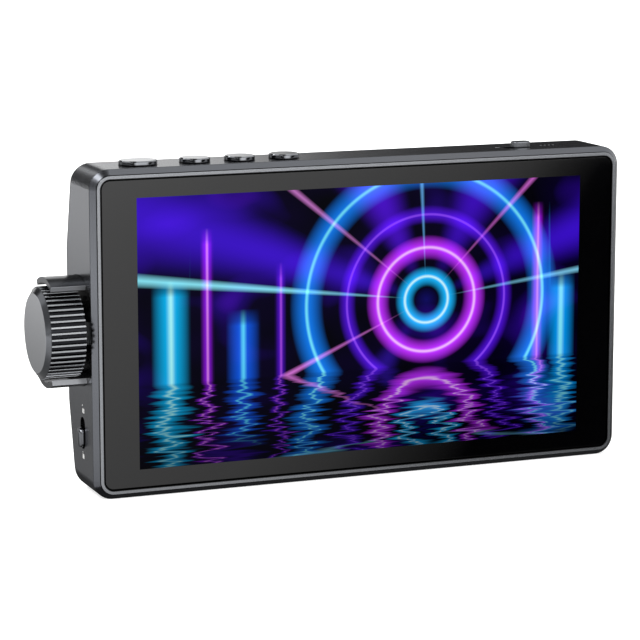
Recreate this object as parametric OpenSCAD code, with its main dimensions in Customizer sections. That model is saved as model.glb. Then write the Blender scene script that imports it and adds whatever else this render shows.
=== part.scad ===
// Camera field monitor, built as separate pieces.
// Origin: centre of the stand thread's mouth, on the bottom face. X to the right as seen from
// the screen side, Y towards the back, Z up. Millimetres.
// Depths (names with _d) are counted from the front face of the cover glass towards the back.

/* [Picture and body] */
// Width of the lit picture
screen_w = 120.96; // [110:0.01:134]
// Height of the lit picture
screen_h = 68.04; // [64:0.01:76]
// From the picture's side edges to the sides of the body
side_border = 11.62; // [11.2:0.01:14]
// From the picture's upper and lower edges to the top and bottom of the body
top_border = 7.18; // [6.9:0.01:9]
// Corner radius of the body, seen from the front
body_r = 4.9; // [4:0.1:7]
// Depth of the body, from the glass face to the flat middle of the back
body_depth = 22.5; // [21.5:0.1:27]
// Depth of the body at its top and bottom edges
edge_depth = 17.2; // [16:0.1:18]
// Height of the flat middle of the back
back_flat = 38.6; // [34:0.1:44]
// Thickness of the housing wall
wall = 2.2; // [2:0.1:2.4]
// Width and depth of the shadow groove where two cases meet
seam = 0.15; // [0.1:0.01:0.25]
// Depth at which a fine groove crosses the two top corners
groove_d = 7.5; // [6:0.1:12]
// Width and depth of that groove
groove_w = 0.25; // [0.15:0.05:0.4]
// Clearance between still pieces that fit into each other
fit = 0.1; // [0.05:0.01:0.15]
// Clearance around pieces that move
slack = 0.3; // [0.25:0.01:0.35]

/* [Front bezel] */
// Width of the flat lip around the glass
lip_w = 0.9; // [0.7:0.1:1.2]
// How far the lip stands in front of the glass
lip_rise = 0.3; // [0.2:0.05:0.5]
// Width of the sloped edge, seen from the front
chamfer_out = 1.5; // [1.2:0.1:2]
// Depth at which the sloped edge meets the housing
chamfer_end_d = 1.6; // [1.45:0.05:1.9]
// Thickness of the shelf that carries the glass
shelf_t = 1.2; // [1:0.1:1.4]
// Length of the tongue that goes into the housing
tongue_len = 1.4; // [1.2:0.1:1.5]
// Thickness of that tongue
tongue_t = 1.1; // [0.9:0.1:1.3]

/* [Glass and panel] */
// Cover glass thickness
glass_t = 1.1; // [0.9:0.1:1.3]
// Gap between the glass and the lip
glass_gap = 0.35; // [0.25:0.05:0.5]
// Thickness of the adhesive tape behind the glass
tape_t = 0.3; // [0.2:0.05:0.4]
// Panel border left and right of the picture
panel_side = 3; // [2:0.1:3.4]
// Panel border above and below the picture
panel_edge = 1.3; // [1:0.1:1.6]
// Thickness of the liquid crystal panel
panel_t = 1.2; // [1:0.1:1.4]
// Thickness of the backlight
backlight_t = 1.8; // [1.7:0.1:2.1]
// Gap around the panel in the bezel's window
window_gap = 0.6; // [0.4:0.1:0.8]

/* [Inner frame and main board] */
// Thickness of the inner frame
frame_t = 1.2; // [1:0.1:1.5]
// Space that the inner frame leaves above and below for the buttons
frame_room = 1.7; // [1.5:0.1:2]
// Height of the standoffs under the main board
standoff_h = 3; // [2.8:0.1:3.2]
// Radius of the standoffs
standoff_r = 2; // [1.8:0.1:2.4]
// Thickness of the circuit boards
board_t = 1; // [0.8:0.1:1.2]
// Distance from the left side face to the main board
board_left = 22; // [20:0.5:26]
// Radius of the housing's corner bosses
boss_r = 2.7; // [2.5:0.1:3]
// Distance of the corner bosses from the inside of the top and bottom wall
boss_drop = 4.4; // [4.2:0.1:5]
// Thread radius of the small screws
screw_r = 0.95; // [0.8:0.05:1.1]
// Head radius of the small screws
screw_head_r = 1.7; // [1.6:0.1:1.8]
// Head height of the small screws
screw_head_t = 0.7; // [0.6:0.05:0.8]

/* [Rear cover] */
// Height of the rear cover's edge that shows behind the housing
cover_edge = 1.2; // [1:0.1:1.6]
// Thickness of the rear cover
cover_t = 1.8; // [1.7:0.1:2.2]
// Bevel around the rear cover
cover_bevel = 0.7; // [0.4:0.1:0.9]
// Length of a vent slot
vent_len = 24; // [16:1:30]
// Width of a vent slot
vent_w = 1.5; // [1.2:0.1:1.8]
// Distance between vent slots
vent_pitch = 3.4; // [3:0.1:3.8]
// Number of vent slots on each side
vent_count = 8; // [4:1:9]
// Distance from the middle of the back to the first vent slot
vent_x = 33; // [31:0.5:36]

/* [Top buttons] */
// Depth of the button centres
button_d = 7.7; // [7.6:0.1:8.6]
// Radius of the round buttons
button_r = 3.85; // [3.4:0.05:3.9]
// Height of the buttons above the top face
button_rise = 1.3; // [1:0.1:1.6]
// Travel of the buttons
button_travel = 0.6; // [0.4:0.1:0.6]
// Clearance around a button in its hole
button_play = 0.1; // [0.06:0.01:0.1]
// Bevel around a button's top
button_bevel = 0.3; // [0.1:0.05:0.5]
// Distance from the left side face to the power button
power_from_side = 14.5; // [14.1:0.1:15.5]
// Straight length added to the power button
power_stretch = 1.95; // [1:0.05:3]
// Distance from the left side face to the first function button
function_from_side = 29.3; // [29:0.1:32]
// Distance between function buttons
function_pitch = 11.85; // [11.6:0.05:14]
// Thickness of the flange that keeps a button in
flange_t = 0.8; // [0.6:0.1:0.9]
// Width of that flange beyond the button
flange_out = 0.6; // [0.5:0.05:0.65]
// Side of the square switches under the buttons
tact_side = 4.2; // [3.8:0.1:4.2]
// Height of those switches
tact_h = 2; // [1.8:0.1:2.2]

/* [Slide switches] */
// Length of a slide switch cap
cap_len = 5.2; // [4.6:0.1:5.6]
// Width of a slide switch cap
cap_w = 2.9; // [2.6:0.1:3.2]
// Height of the caps above the case
cap_rise = 1.6; // [1.2:0.1:1.8]
// Travel of the slide switches
switch_travel = 2; // [1.5:0.1:2.5]
// Height of the side switch's slot centre above the bottom face
side_switch_z = 15.4; // [15:0.1:18]
// Depth of the side switch
side_switch_d = 10; // [9.5:0.1:11]
// Distance from the right side face to the top switch's slot centre
top_switch_from_side = 26.5; // [26:0.5:30]
// Depth of the top switch
top_switch_d = 7.2; // [7.1:0.05:7.3]
// Width of the slots beyond the caps, on each side
slot_side = 0.6; // [0.4:0.05:0.7]

/* [Knob] */
// Radius of the knob
knob_r = 11.57; // [10.5:0.05:12]
// Radius of the knob's flat face
knob_face_r = 9.9; // [9:0.1:10.2]
// Length of the knob
knob_len = 9.9; // [9:0.1:11]
// Length of the knob's bevel
knob_bevel = 1.1; // [0.8:0.1:1.4]
// Gap between the knob and the side face
knob_gap = 1.5; // [1.3:0.1:2.2]
// Depth of the knob's axis
knob_d = 11.8; // [11.6:0.1:12.2]
// Number of ribs around the knob
rib_count = 48; // [36:1:60]
// Depth of the grooves between the ribs
rib_deep = 0.55; // [0.3:0.05:0.7]
// Wall of the knob around its hollow
knob_wall = 2.4; // [2:0.1:3]
// Press travel of the knob
knob_travel = 0.5; // [0.3:0.1:0.6]

/* [Knob guard] */
// Gap between the knob and the guard walls
guard_gap = 0.95; // [0.8:0.05:1.2]
// Thickness of the guard walls
guard_t = 1.35; // [1.1:0.05:1.6]
// How far the guard walls stand out from the side face
guard_len = 8.9; // [7:0.1:9.5]
// Angle that each guard wall covers
guard_angle = 56; // [40:1:70]
// Thickness of the plate that carries the guard walls
guard_plate_t = 0.8; // [0.6:0.1:0.9]

/* [Rotary encoder] */
// Side of the square encoder body
encoder_side = 12; // [11:0.1:12]
// Depth of the encoder body behind the wall
encoder_len = 7; // [6.8:0.1:7.6]
// Radius of the threaded bush
bush_r = 3.5; // [3.4:0.1:3.8]
// Length of the bush outside the side face
bush_out = 2.7; // [2.5:0.1:2.8]
// Radius of the shaft
shaft_r = 3; // [2.8:0.05:3.1]
// Running clearance between shaft and bush
shaft_play = 0.05; // [0.02:0.01:0.09]
// Distance from the shaft's axis to its flat
shaft_flat = 1.5; // [1.2:0.1:2]
// Thickness of the bush's nut
nut_t = 1.6; // [1.4:0.1:1.8]
// Radius of the nut across its corners
nut_r = 5.6; // [5.2:0.1:6]

/* [Sockets on the right side] */
// Distance of the lowest and highest socket from the corner bosses
socket_margin = 1; // [0.5:0.1:1.5]
// Opening of a video socket, along the case
video_mouth_w = 14; // [13.6:0.1:14.2]
// Opening of a video socket, across the case
video_mouth_h = 4.55; // [4.3:0.05:4.7]
// Depth of a video socket's opening
video_deep = 9; // [8:0.1:10]
// Sheet thickness of the socket shells
shell_t = 0.4; // [0.3:0.05:0.5]
// Radius of the power socket's bore
power_bore_r = 2.85; // [2.75:0.05:3.1]
// Radius of the power socket's centre pin
power_pin_r = 1.05; // [0.95:0.05:1.25]
// Radius of the headphone socket's bore
headphone_bore_r = 1.8; // [1.76:0.02:1.9]
// How far the sockets sit below the side face
socket_sunk = 0.4; // [0.3:0.05:0.6]

/* [Battery plate] */
// Width of the battery between the rails
battery_w = 38.4; // [38:0.1:38.8]
// Thickness of the plate behind the flat middle of the back
plate_t = 3; // [2.9:0.1:6]
// Height of the plate's lower end above the bottom face
plate_z = 3; // [2.6:0.1:3.4]
// Length of the plate
plate_len = 70; // [64:0.5:72]
// Thickness of the side rails
rail_t = 3; // [2.4:0.1:3.6]
// Height of the side rails above the plate's face
rail_rise = 4.8; // [4.6:0.1:5.4]
// How far the hooks reach in from the rails
hook_in = 1.3; // [1:0.1:1.6]
// Thickness of the hooks
hook_t = 1.3; // [1:0.1:1.5]
// Length of a hook
hook_len = 8; // [6:0.5:10]
// Height of the stop that the battery comes down on
stop_z = 11; // [10.9:0.1:11.2]
// Thickness of that stop
stop_t = 2.5; // [2.2:0.1:2.6]
// Width of the release button
latch_w = 12; // [10:0.5:14]
// Height of the release button
latch_h = 6; // [5.8:0.1:6.2]
// How far the release button stands above the plate's face
latch_rise = 1.5; // [1:0.1:2]
// Travel of the release button
latch_travel = 1.8; // [1.4:0.1:1.9]
// Radius of the spring's coil
spring_r = 1.9; // [1.7:0.1:2]
// Radius of the spring's wire
wire_r = 0.2; // [0.15:0.05:0.25]
// Number of the spring's turns
spring_turns = 5; // [4:1:6]

/* [Stand thread] */
// Depth of the stand thread's axis
thread_d = 10.3; // [10.3:0.05:10.4]
// Radius of the thread's hole
thread_r = 2.6; // [2.5:0.05:2.6]
// Length of the thread
thread_len = 7.5; // [6:0.1:7.6]
// Outside radius of the brass insert
insert_r = 3.8; // [3.6:0.05:3.9]

/* [Hidden] */
$fn = 64;
eps = 0.01;
body_w = screen_w + 2 * side_border;
body_h = screen_h + 2 * top_border;
mid_z = body_h / 2;
left_x = -body_w / 2;
right_x = body_w / 2;
inner_x = right_x - wall;
inner_top = body_h - wall;
inner_w = body_w - 2 * wall;
inner_h = body_h - 2 * wall;
inner_r = body_r - wall;

// Front: lip, glass and panel, from the body's outline inwards
lip_ow = body_w - 2 * chamfer_out;
lip_oh = body_h - 2 * chamfer_out;
lip_r = body_r - chamfer_out;
mouth_w = lip_ow - 2 * lip_w;
mouth_h = lip_oh - 2 * lip_w;
mouth_r = lip_r - lip_w;
glass_w = mouth_w - 2 * glass_gap;
glass_h = mouth_h - 2 * glass_gap;
glass_r = mouth_r - glass_gap;
panel_w = screen_w + 2 * panel_side;
panel_h = screen_h + 2 * panel_edge;
window_w = panel_w + 2 * window_gap;
window_h = panel_h + 2 * window_gap;
window_r = 1;
panel_r = 0.5;
backlight_in = 0.3;
shelf_d = glass_t + tape_t;
backlight_d = glass_t + panel_t;
frame_d = backlight_d + backlight_t;
frame_back_d = frame_d + frame_t;
board_d = frame_back_d + standoff_h;
board_back_d = board_d + board_t;

// Inner frame, bosses and boards
frame_w = inner_w - 2 * slack;
frame_h = inner_h - 2 * frame_room;
boss_x = inner_x - boss_r + fit;
boss_top_z = inner_top - boss_drop;
boss_low_z = wall + boss_drop;
pilot_r = screw_r + 0.05;
hole_r = screw_r + 0.15;
board_low_z = boss_low_z + boss_r + 0.5;
board_top_z = boss_top_z - boss_r - 0.5;
board_left_x = left_x + board_left;
board_right_x = inner_x - 1;
rim_t = 1.2;
rim_len = 0.6;
standoff_in = 5;
standoff_rise = 4;
standoff_right = 14;
standoff_xs = [board_left_x + standoff_in, board_right_x - standoff_right];
standoff_zs = [board_low_z + standoff_rise, board_top_z - standoff_rise];
screw_len = 4;
head_sunk = 0.4;
recess_l = 1.7;
recess_w = 0.7;
recess_deep = 0.2;

// Buttons and the board under them
button_flange_r = button_r + flange_out;
button_hole_r = button_r + button_play;
power_x = left_x + power_from_side;
function_xs = [for (i = [0:2]) left_x + function_from_side + i * function_pitch];
stem_r = 1;
tact_bore_r = stem_r + 0.25;
key_board_top = inner_top - flange_t - button_travel - 1 - tact_h;
stem_dip = 0.4;
key_board_d = frame_back_d + 0.4;
key_board_depth = 7.4;
key_board_over = 5;
key_post_r = 1.2;
post_screw_r = 0.65;
key_post_xs = [(power_x + power_stretch / 2 + function_xs[0]) / 2,
               (function_xs[1] + function_xs[2]) / 2];

// Chips and heat sink: the processor sits under the heat sink, the other chips around it
chip_x = 8;
chip_z = mid_z + 3;
chip_side = 14;
chip_t = 1.2;
small_chips = [[-26, 8, 9], [-26, -6, 9], [36, 14, 6], [40, -16, 7]];
pad_t = 0.8;
pad_in = 0.5;
sink_side = 36;
sink_base = 1.5;
sink_fin = 4;
fin_t = 1;
fin_count = 9;

// Ribbons and leads with their connectors
ribbon_t = 0.25;
plug_t = 2;
panel_plug_x = 50;
panel_plug_l = 18;
panel_plug_t = 1.6;
panel_ribbon_w = 16;
panel_ribbon_x = panel_w / 2 + 2;
key_ribbon_x = board_left_x + 20;
key_ribbon_w = 8;
side_ribbon_drop = 9;
side_ribbon_z = mid_z - side_ribbon_drop;
side_ribbon_w = 6;
plug_over = 0.5;
plug_len = 4;
lead_r = 0.6;
lead_plug_t = 4;

// Slide switches
slot_end = 0.5;
slot_len = cap_len + switch_travel + 2 * slot_end;
slot_w = cap_w + 2 * slot_side;
shoe_t = 0.8;
shoe_gap = 0.1;
shoe_w = slot_w + 1.2;
shoe_len = slot_len + 2;
peg = 1.4;
peg_len = 1.4;
switch_body_in = shoe_gap + shoe_t + 0.4;
top_switch_x = right_x - top_switch_from_side;
switch_body_len = 8.6;
switch_body_w = 4.4;

// Knob and encoder
knob_back_x = left_x - knob_gap;
knob_face_x = knob_back_x - knob_len;
hollow_r = knob_r - rib_deep - knob_wall;
face_t = 2.1;
hub_r = 4.6;
hub_back = bush_out + knob_travel + 0.5 - knob_gap;
guard_in_r = knob_r + guard_gap;
guard_out_r = guard_in_r + guard_t;
encoder_x = left_x + wall;
encoder_back_x = encoder_x + encoder_len;
cavity_r = 4.6;
cavity_front = 1.5;
cavity_back = 0.7;
plunger_t = 1;
plunger_r = 2.6;
shaft_end_x = encoder_back_x - cavity_back - slack - knob_travel - plunger_t;
side_board_low = side_switch_z - switch_body_len / 2 - 1.2;
side_board_high = mid_z + encoder_side / 2 + 3;
board_in = 1.7;

// Right side sockets
socket_mouth_x = right_x - socket_sunk;
video_shell_w = video_mouth_w + 2 * shell_t;
video_shell_h = video_mouth_h + 2 * shell_t;
video_d = board_back_d + video_shell_h / 2;
video_len = video_deep + 1.5;
video_tongue_in = 1.4;
video_tongue_t = 1.3;
data_w = 8.94;
data_h = 3.26;
data_len = 7.5;
data_d = board_back_d + data_h / 2;
data_tongue_in = 0.8;
data_tongue_w = 6.6;
data_tongue_t = 0.7;
power_side = 9;
power_h = 8;
power_len = 12;
power_d = board_back_d + power_h / 2;
headphone_side = 5.6;
headphone_h = 5;
headphone_len = 12;
headphone_d = board_back_d + headphone_h / 2;
nose_wall = 0.8;
// The sockets stand in a row between the corner bosses, with equal gaps, from the bottom:
// data, video output, video input, power, headphone
row_low = boss_low_z + boss_r + socket_margin;
row_high = boss_top_z - boss_r - socket_margin;
row_gap = (row_high - row_low - data_w - 2 * video_shell_w - power_side - headphone_side) / 4;
data_socket_z = row_low + data_w / 2;
video_out_z = row_low + data_w + row_gap + video_shell_w / 2;
video_in_z = video_out_z + video_shell_w + row_gap;
power_socket_z = video_in_z + video_shell_w / 2 + row_gap + power_side / 2;
headphone_z = row_high - headphone_side / 2;

// Battery plate
plate_face_d = body_depth + plate_t;
channel_w = battery_w + 0.6;
plate_w = channel_w + 2 * rail_t;
rail_back_d = plate_face_d + rail_rise;
stop_top_z = stop_z + stop_t;
latch_z = stop_z - 0.8 - latch_h;
latch_floor_d = back_d(latch_z + latch_h + slack) + 0.5;
latch_front_d = latch_floor_d + latch_travel + 0.4;
latch_skin = 0.5;
arm_w = 6;
arm_t = 1.1;
arm_d = plate_face_d - latch_skin - slack - arm_t;
tooth_h = 1.8;
tooth_z = stop_top_z + 0.4;
contact_xs = [-8.5, -5, 8.5];
contact_t = 0.8;
contact_len = 5.5;
contact_d = plate_face_d + 1.1;
contact_h = 1.6;
contact_root_z = stop_z + 0.8;
tail_d = back_d(contact_root_z) - cover_t - 0.6;
spring_len = plate_face_d - latch_skin - latch_floor_d;
spring_sides = 6;
spring_steps = 14;
spring_rings = spring_turns * spring_steps;
plate_screw_x = 13;
plate_screw_out = 15;
plate_screw_zs = [mid_z - plate_screw_out, mid_z + plate_screw_out];
lead_xs = [contact_xs[0], contact_xs[2]];

// A depth behind the glass face, as a place along Y
function at(d) = d - thread_d;
// The back surface's depth at height z
function back_d(z) = min(body_depth,
    edge_depth + min(z, body_h - z) * (body_depth - edge_depth) / (mid_z - back_flat / 2));

// Rounded rectangle around the middle of the front
module outline(w, h, r) {
    translate([-w / 2 + r, mid_z - h / 2]) square([w - 2 * r, h]);
    translate([-w / 2, mid_z - h / 2 + r]) square([w, h - 2 * r]);
    for (sx = [-1, 1], sz = [-1, 1])
        translate([sx * (w / 2 - r), mid_z + sz * (h / 2 - r)]) circle(r);
}

// Shape with round ends, l long and w wide, around the origin
module stadium(l, w) {
    square([l - w, w], center = true);
    for (s = [-1, 1]) translate([s * (l - w) / 2, 0]) circle(w / 2);
}

// Extrude a shape drawn in X and Z, between two depths
module between(d0, d1) {
    translate([0, at(d1), 0]) rotate([90, 0, 0]) linear_extrude(d1 - d0) children();
}

// Extrude a shape drawn in Y and Z, between two places along X
module across(x0, x1) {
    translate([x0, 0, 0]) rotate([90, 0, 90]) linear_extrude(x1 - x0) children();
}

// A box from its lowest to its highest corner, with depths along Y
module block(x0, x1, d0, d1, z0, z1) {
    translate([x0, at(d0), z0]) cube([x1 - x0, d1 - d0, z1 - z0]);
}

// A round rod along Y, centred on x and z
module rod(x, z, d0, d1, r) {
    translate([x, at(d1), z]) rotate([90, 0, 0]) cylinder(h = d1 - d0, r = r);
}

// A round rod along X, centred on a depth and a height
module cross_rod(x0, x1, d, z, r) {
    translate([x0, at(d), z]) rotate([0, 90, 0]) cylinder(h = x1 - x0, r = r);
}

// Everything in front of the back surface, set forward by an amount
module in_front(back) {
    across(left_x - 1, right_x + 1) polygon([
        [at(-5), 0], [at(edge_depth - back), 0],
        [at(body_depth - back), mid_z - back_flat / 2],
        [at(body_depth - back), mid_z + back_flat / 2],
        [at(edge_depth - back), body_h], [at(-5), body_h]]);
}

// A plate with the body's rounded outline that widens towards the back
module widening_plate(d0, d1, w, h, r, out) {
    translate([0, 0, mid_z - h / 2 + r]) linear_extrude(h - 2 * r) polygon([
        [-w / 2, at(d0)], [w / 2, at(d0)], [w / 2 + out, at(d1)], [-w / 2 - out, at(d1)]]);
    across(-w / 2 + r, w / 2 - r) polygon([
        [at(d0), mid_z - h / 2], [at(d0), mid_z + h / 2],
        [at(d1), mid_z + h / 2 + out], [at(d1), mid_z - h / 2 - out]]);
    for (sx = [-1, 1], sz = [-1, 1])
        translate([sx * (w / 2 - r), at(d1), mid_z + sz * (h / 2 - r)])
            rotate([90, 0, 0]) cylinder(h = d1 - d0, r1 = r + out, r2 = r);
}

module front_bezel() color("#3a3b3e") difference() {
    union() {
        widening_plate(-lip_rise, chamfer_end_d - seam, lip_ow, lip_oh, lip_r, chamfer_out);
        between(chamfer_end_d - seam - eps, chamfer_end_d)
            outline(body_w - 2 * seam, body_h - 2 * seam, body_r - seam);
        between(chamfer_end_d - eps, chamfer_end_d + tongue_len)
            outline(inner_w - 2 * fit, inner_h - 2 * fit, inner_r - fit);
    }
    between(-lip_rise - 1, shelf_d) outline(mouth_w, mouth_h, mouth_r);
    between(0, body_depth) outline(window_w, window_h, window_r);
    between(shelf_d + shelf_t, body_depth)
        outline(inner_w - 2 * (fit + tongue_t), inner_h - 2 * (fit + tongue_t), window_r);
}

module cover_glass() color("#08080a") between(0, glass_t) outline(glass_w, glass_h, glass_r);

module glass_tape() color("#1c1c1c") between(glass_t, glass_t + tape_t) difference() {
    outline(glass_w - 2 * slack, glass_h - 2 * slack, glass_r);
    outline(window_w + 2 * fit, window_h + 2 * fit, window_r);
}

module lcd_panel() color("#10121c") between(glass_t, backlight_d) outline(panel_w, panel_h, panel_r);

module backlight_unit() color("#d8d8dc")
    between(backlight_d, frame_d)
        outline(panel_w - 2 * backlight_in, panel_h - 2 * backlight_in, panel_r);

// The four corner places shared by the bosses and their screws
module at_corners() {
    for (sx = [-1, 1], z = [boss_low_z, boss_top_z]) translate([sx * boss_x, 0, z]) children();
}

module inner_frame() color("#8f9499") difference() {
    union() {
        between(frame_d, frame_back_d) outline(frame_w, frame_h, 2);
        for (x = standoff_xs, z = standoff_zs)
            rod(x, z, frame_back_d - eps, board_d, standoff_r);
    }
    at_corners() rod(0, 0, frame_d - 1, frame_back_d + 1, hole_r);
    for (x = standoff_xs, z = standoff_zs) rod(x, z, frame_d - 1, board_d + 1, pilot_r);
    // Way through for the panel's ribbon
    block(panel_w / 2 + 0.5, panel_ribbon_x + 2, frame_d - 1, frame_back_d + 1,
        mid_z - panel_ribbon_w / 2 - 2, mid_z + panel_ribbon_w / 2 + 2);
    // Room for the lower wall's thread boss
    block(-insert_r - 2, insert_r + 2, frame_d - 1, frame_back_d + 1, 0, wall + frame_room + 1);
}

module frame_screws() color("#9a9da0") at_corners() {
    rod(0, 0, frame_d - screw_head_t, frame_d, screw_head_r);
    rod(0, 0, frame_d - eps, frame_d + screw_len, screw_r);
}

// Openings that the buttons pass through
module button_holes() {
    for (x = function_xs)
        translate([x, at(button_d), inner_top - 1]) cylinder(h = wall + 2, r = button_hole_r);
    translate([power_x, at(button_d), inner_top - 1]) linear_extrude(wall + 2)
        stadium(power_stretch + 2 * button_hole_r, 2 * button_hole_r);
}

// Openings in the right side wall, each a little larger than its socket
module socket_holes() {
    for (z = [video_in_z, video_out_z])
        across(inner_x - 1, right_x + 1) translate([at(video_d), z])
            square([video_shell_h + 2 * fit, video_shell_w + 2 * fit], center = true);
    across(inner_x - 1, right_x + 1) translate([at(data_d), data_socket_z]) rotate(90)
        stadium(data_w + 2 * fit, data_h + 2 * fit);
    cross_rod(inner_x - 1, right_x + 1, power_d, power_socket_z, power_bore_r + nose_wall + fit);
    cross_rod(inner_x - 1, right_x + 1, headphone_d, headphone_z,
        headphone_bore_r + nose_wall + fit);
}

// Fine grooves across the top corners
module corner_grooves() between(groove_d, groove_d + groove_w) difference() {
    for (sx = [-1, 1]) translate([sx * (body_w - body_r) / 2, body_h - body_r / 2])
        square(body_r + 2 * eps, center = true);
    outline(body_w - 2 * groove_w, body_h - 2 * groove_w, body_r - groove_w);
}

module housing() color("#2b2c2f") difference() {
    union() {
        intersection() {
            difference() {
                between(chamfer_end_d, body_depth) outline(body_w, body_h, body_r);
                between(0, body_depth + 1) outline(inner_w, inner_h, inner_r);
            }
            in_front(cover_edge);
        }
        intersection() {
            union() {
                at_corners() rod(0, 0, frame_back_d, body_depth, boss_r);
                for (x = key_post_xs)
                    translate([x, at(button_d), key_board_top])
                        cylinder(h = body_h - wall / 2 - key_board_top, r = key_post_r);
                translate([0, 0, eps]) cylinder(h = thread_len + 1.4, r = insert_r + 0.8);
            }
            in_front(cover_t + 0.02);
        }
    }
    at_corners() rod(0, 0, frame_back_d - 1, body_depth, pilot_r);
    for (x = key_post_xs)
        translate([x, at(button_d), key_board_top - 1]) cylinder(h = 4, r = post_screw_r + 0.05);
    button_holes();
    socket_holes();
    corner_grooves();
    // Slots of the two slide switches
    across(left_x - 1, encoder_x + 1) translate([at(side_switch_d), side_switch_z])
        rotate(90) stadium(slot_len, slot_w);
    translate([top_switch_x, at(top_switch_d), inner_top - 1])
        linear_extrude(wall + 2) stadium(slot_len, slot_w);
    // Seat of the knob guard's plate, and the bush's hole
    cross_rod(left_x - 1, left_x + guard_plate_t, knob_d, mid_z, guard_out_r + fit);
    cross_rod(left_x - 1, encoder_x + 1, knob_d, mid_z, bush_r + fit);
    // Seat of the stand thread's insert
    translate([0, 0, -1]) cylinder(h = thread_len + 1, r = insert_r);
    translate([0, 0, -1]) cylinder(h = 1.6, r = insert_r + 0.4 + fit);
}

module vent_slots() {
    for (sx = [-1, 1], i = [0 : vent_count - 1])
        between(0, body_depth + 1) translate([sx * (vent_x + i * vent_pitch), mid_z])
            rotate(90) stadium(vent_len, vent_w);
}

module rear_cover() color("#26272a") difference() {
    union() {
        difference() {
            hull() {
                intersection() {
                    between(chamfer_end_d, body_depth) outline(body_w, body_h, body_r, $fn = 32);
                    in_front(cover_bevel);
                }
                intersection() {
                    between(chamfer_end_d, body_depth) outline(body_w - 2 * cover_bevel,
                        body_h - 2 * cover_bevel, body_r - cover_bevel, $fn = 32);
                    in_front(0);
                }
            }
            in_front(cover_edge - seam);
        }
        difference() {
            intersection() {
                between(chamfer_end_d, body_depth)
                    outline(body_w - 2 * seam, body_h - 2 * seam, body_r - seam);
                in_front(cover_edge - seam - eps);
            }
            in_front(cover_edge);
        }
        difference() {
            intersection() {
                between(chamfer_end_d, body_depth)
                    outline(inner_w - 2 * fit, inner_h - 2 * fit, inner_r - fit);
                in_front(cover_edge - eps);
            }
            in_front(cover_t);
        }
        // Rims that locate the cover between the side walls
        for (x = [-inner_x + fit, inner_x - fit - rim_t])
            block(x, x + rim_t, body_depth - cover_t - rim_len, body_depth - cover_t + eps,
                mid_z - back_flat / 2 + 2, mid_z + back_flat / 2 - 2);
    }
    // Screw holes with flat seats for the heads
    for (sx = [-1, 1], z = [boss_low_z, boss_top_z]) {
        rod(sx * boss_x, z, 0, body_depth + 1, hole_r);
        rod(sx * boss_x, z, back_d(z) - screw_head_t - head_sunk, body_depth + 1,
            screw_head_r + fit);
    }
    for (sx = [-1, 1], z = plate_screw_zs)
        rod(sx * plate_screw_x, z, 0, body_depth + 1, pilot_r);
    for (x = contact_xs)
        block(x - contact_t / 2 - fit, x + contact_t / 2 + fit, 0, body_depth + 1,
            contact_root_z - fit, contact_root_z + 1 + fit);
    vent_slots();
}

// A screw along Y with a cross recess, its head's seat at depth d, its tip at depth tip
module cross_screw(x, z, d, tip) {
    difference() {
        rod(x, z, d, d + screw_head_t, screw_head_r);
        for (a = [0, 90]) translate([x, at(d + screw_head_t), z]) rotate([0, a, 0])
            cube([recess_l, 2 * recess_deep, recess_w], center = true);
    }
    rod(x, z, tip, d + eps, screw_r);
}

module rear_screws() color("#1b1b1d") for (sx = [-1, 1], z = [boss_low_z, boss_top_z]) {
    seat_d = back_d(z) - screw_head_t - head_sunk;
    cross_screw(sx * boss_x, z, seat_d, seat_d - screw_len);
}

module main_board() color("#14532d") difference() {
    block(board_left_x, board_right_x, board_d, board_back_d, board_low_z, board_top_z);
    for (x = standoff_xs, z = standoff_zs) rod(x, z, board_d - 1, board_back_d + 1, hole_r);
}

module board_screws() color("#a5a8ab") {
    for (x = standoff_xs, z = standoff_zs) {
        rod(x, z, board_back_d, board_back_d + screw_head_t, screw_head_r);
        rod(x, z, board_back_d - 3, board_back_d + eps, screw_r);
    }
    for (x = key_post_xs)
        translate([x, at(button_d), key_board_top - board_t - 0.6]) {
            cylinder(h = 0.6, r = 2 * post_screw_r);
            cylinder(h = board_t + 3, r = post_screw_r);
        }
}

module main_chips() color("#1a1a1c") {
    block(chip_x - chip_side / 2, chip_x + chip_side / 2, board_back_d, board_back_d + chip_t,
        chip_z - chip_side / 2, chip_z + chip_side / 2);
    for (p = small_chips)
        block(p[0] - p[2] / 2, p[0] + p[2] / 2, board_back_d, board_back_d + chip_t,
            mid_z + p[1] - p[2] / 2, mid_z + p[1] + p[2] / 2);
}

module thermal_pad() color("#7a8fa6")
    block(chip_x - chip_side / 2 + pad_in, chip_x + chip_side / 2 - pad_in,
        board_back_d + chip_t, board_back_d + chip_t + pad_t,
        chip_z - chip_side / 2 + pad_in, chip_z + chip_side / 2 - pad_in);

module heat_sink() color("#9aa0a6") {
    sink_d = board_back_d + chip_t + pad_t;
    block(chip_x - sink_side / 2, chip_x + sink_side / 2, sink_d, sink_d + sink_base,
        chip_z - sink_side / 2, chip_z + sink_side / 2);
    for (i = [0 : fin_count - 1]) {
        x = chip_x - sink_side / 2 + i * (sink_side - fin_t) / (fin_count - 1);
        block(x, x + fin_t, sink_d + sink_base - eps, sink_d + sink_base + sink_fin,
            chip_z - sink_side / 2, chip_z + sink_side / 2);
    }
}

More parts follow.
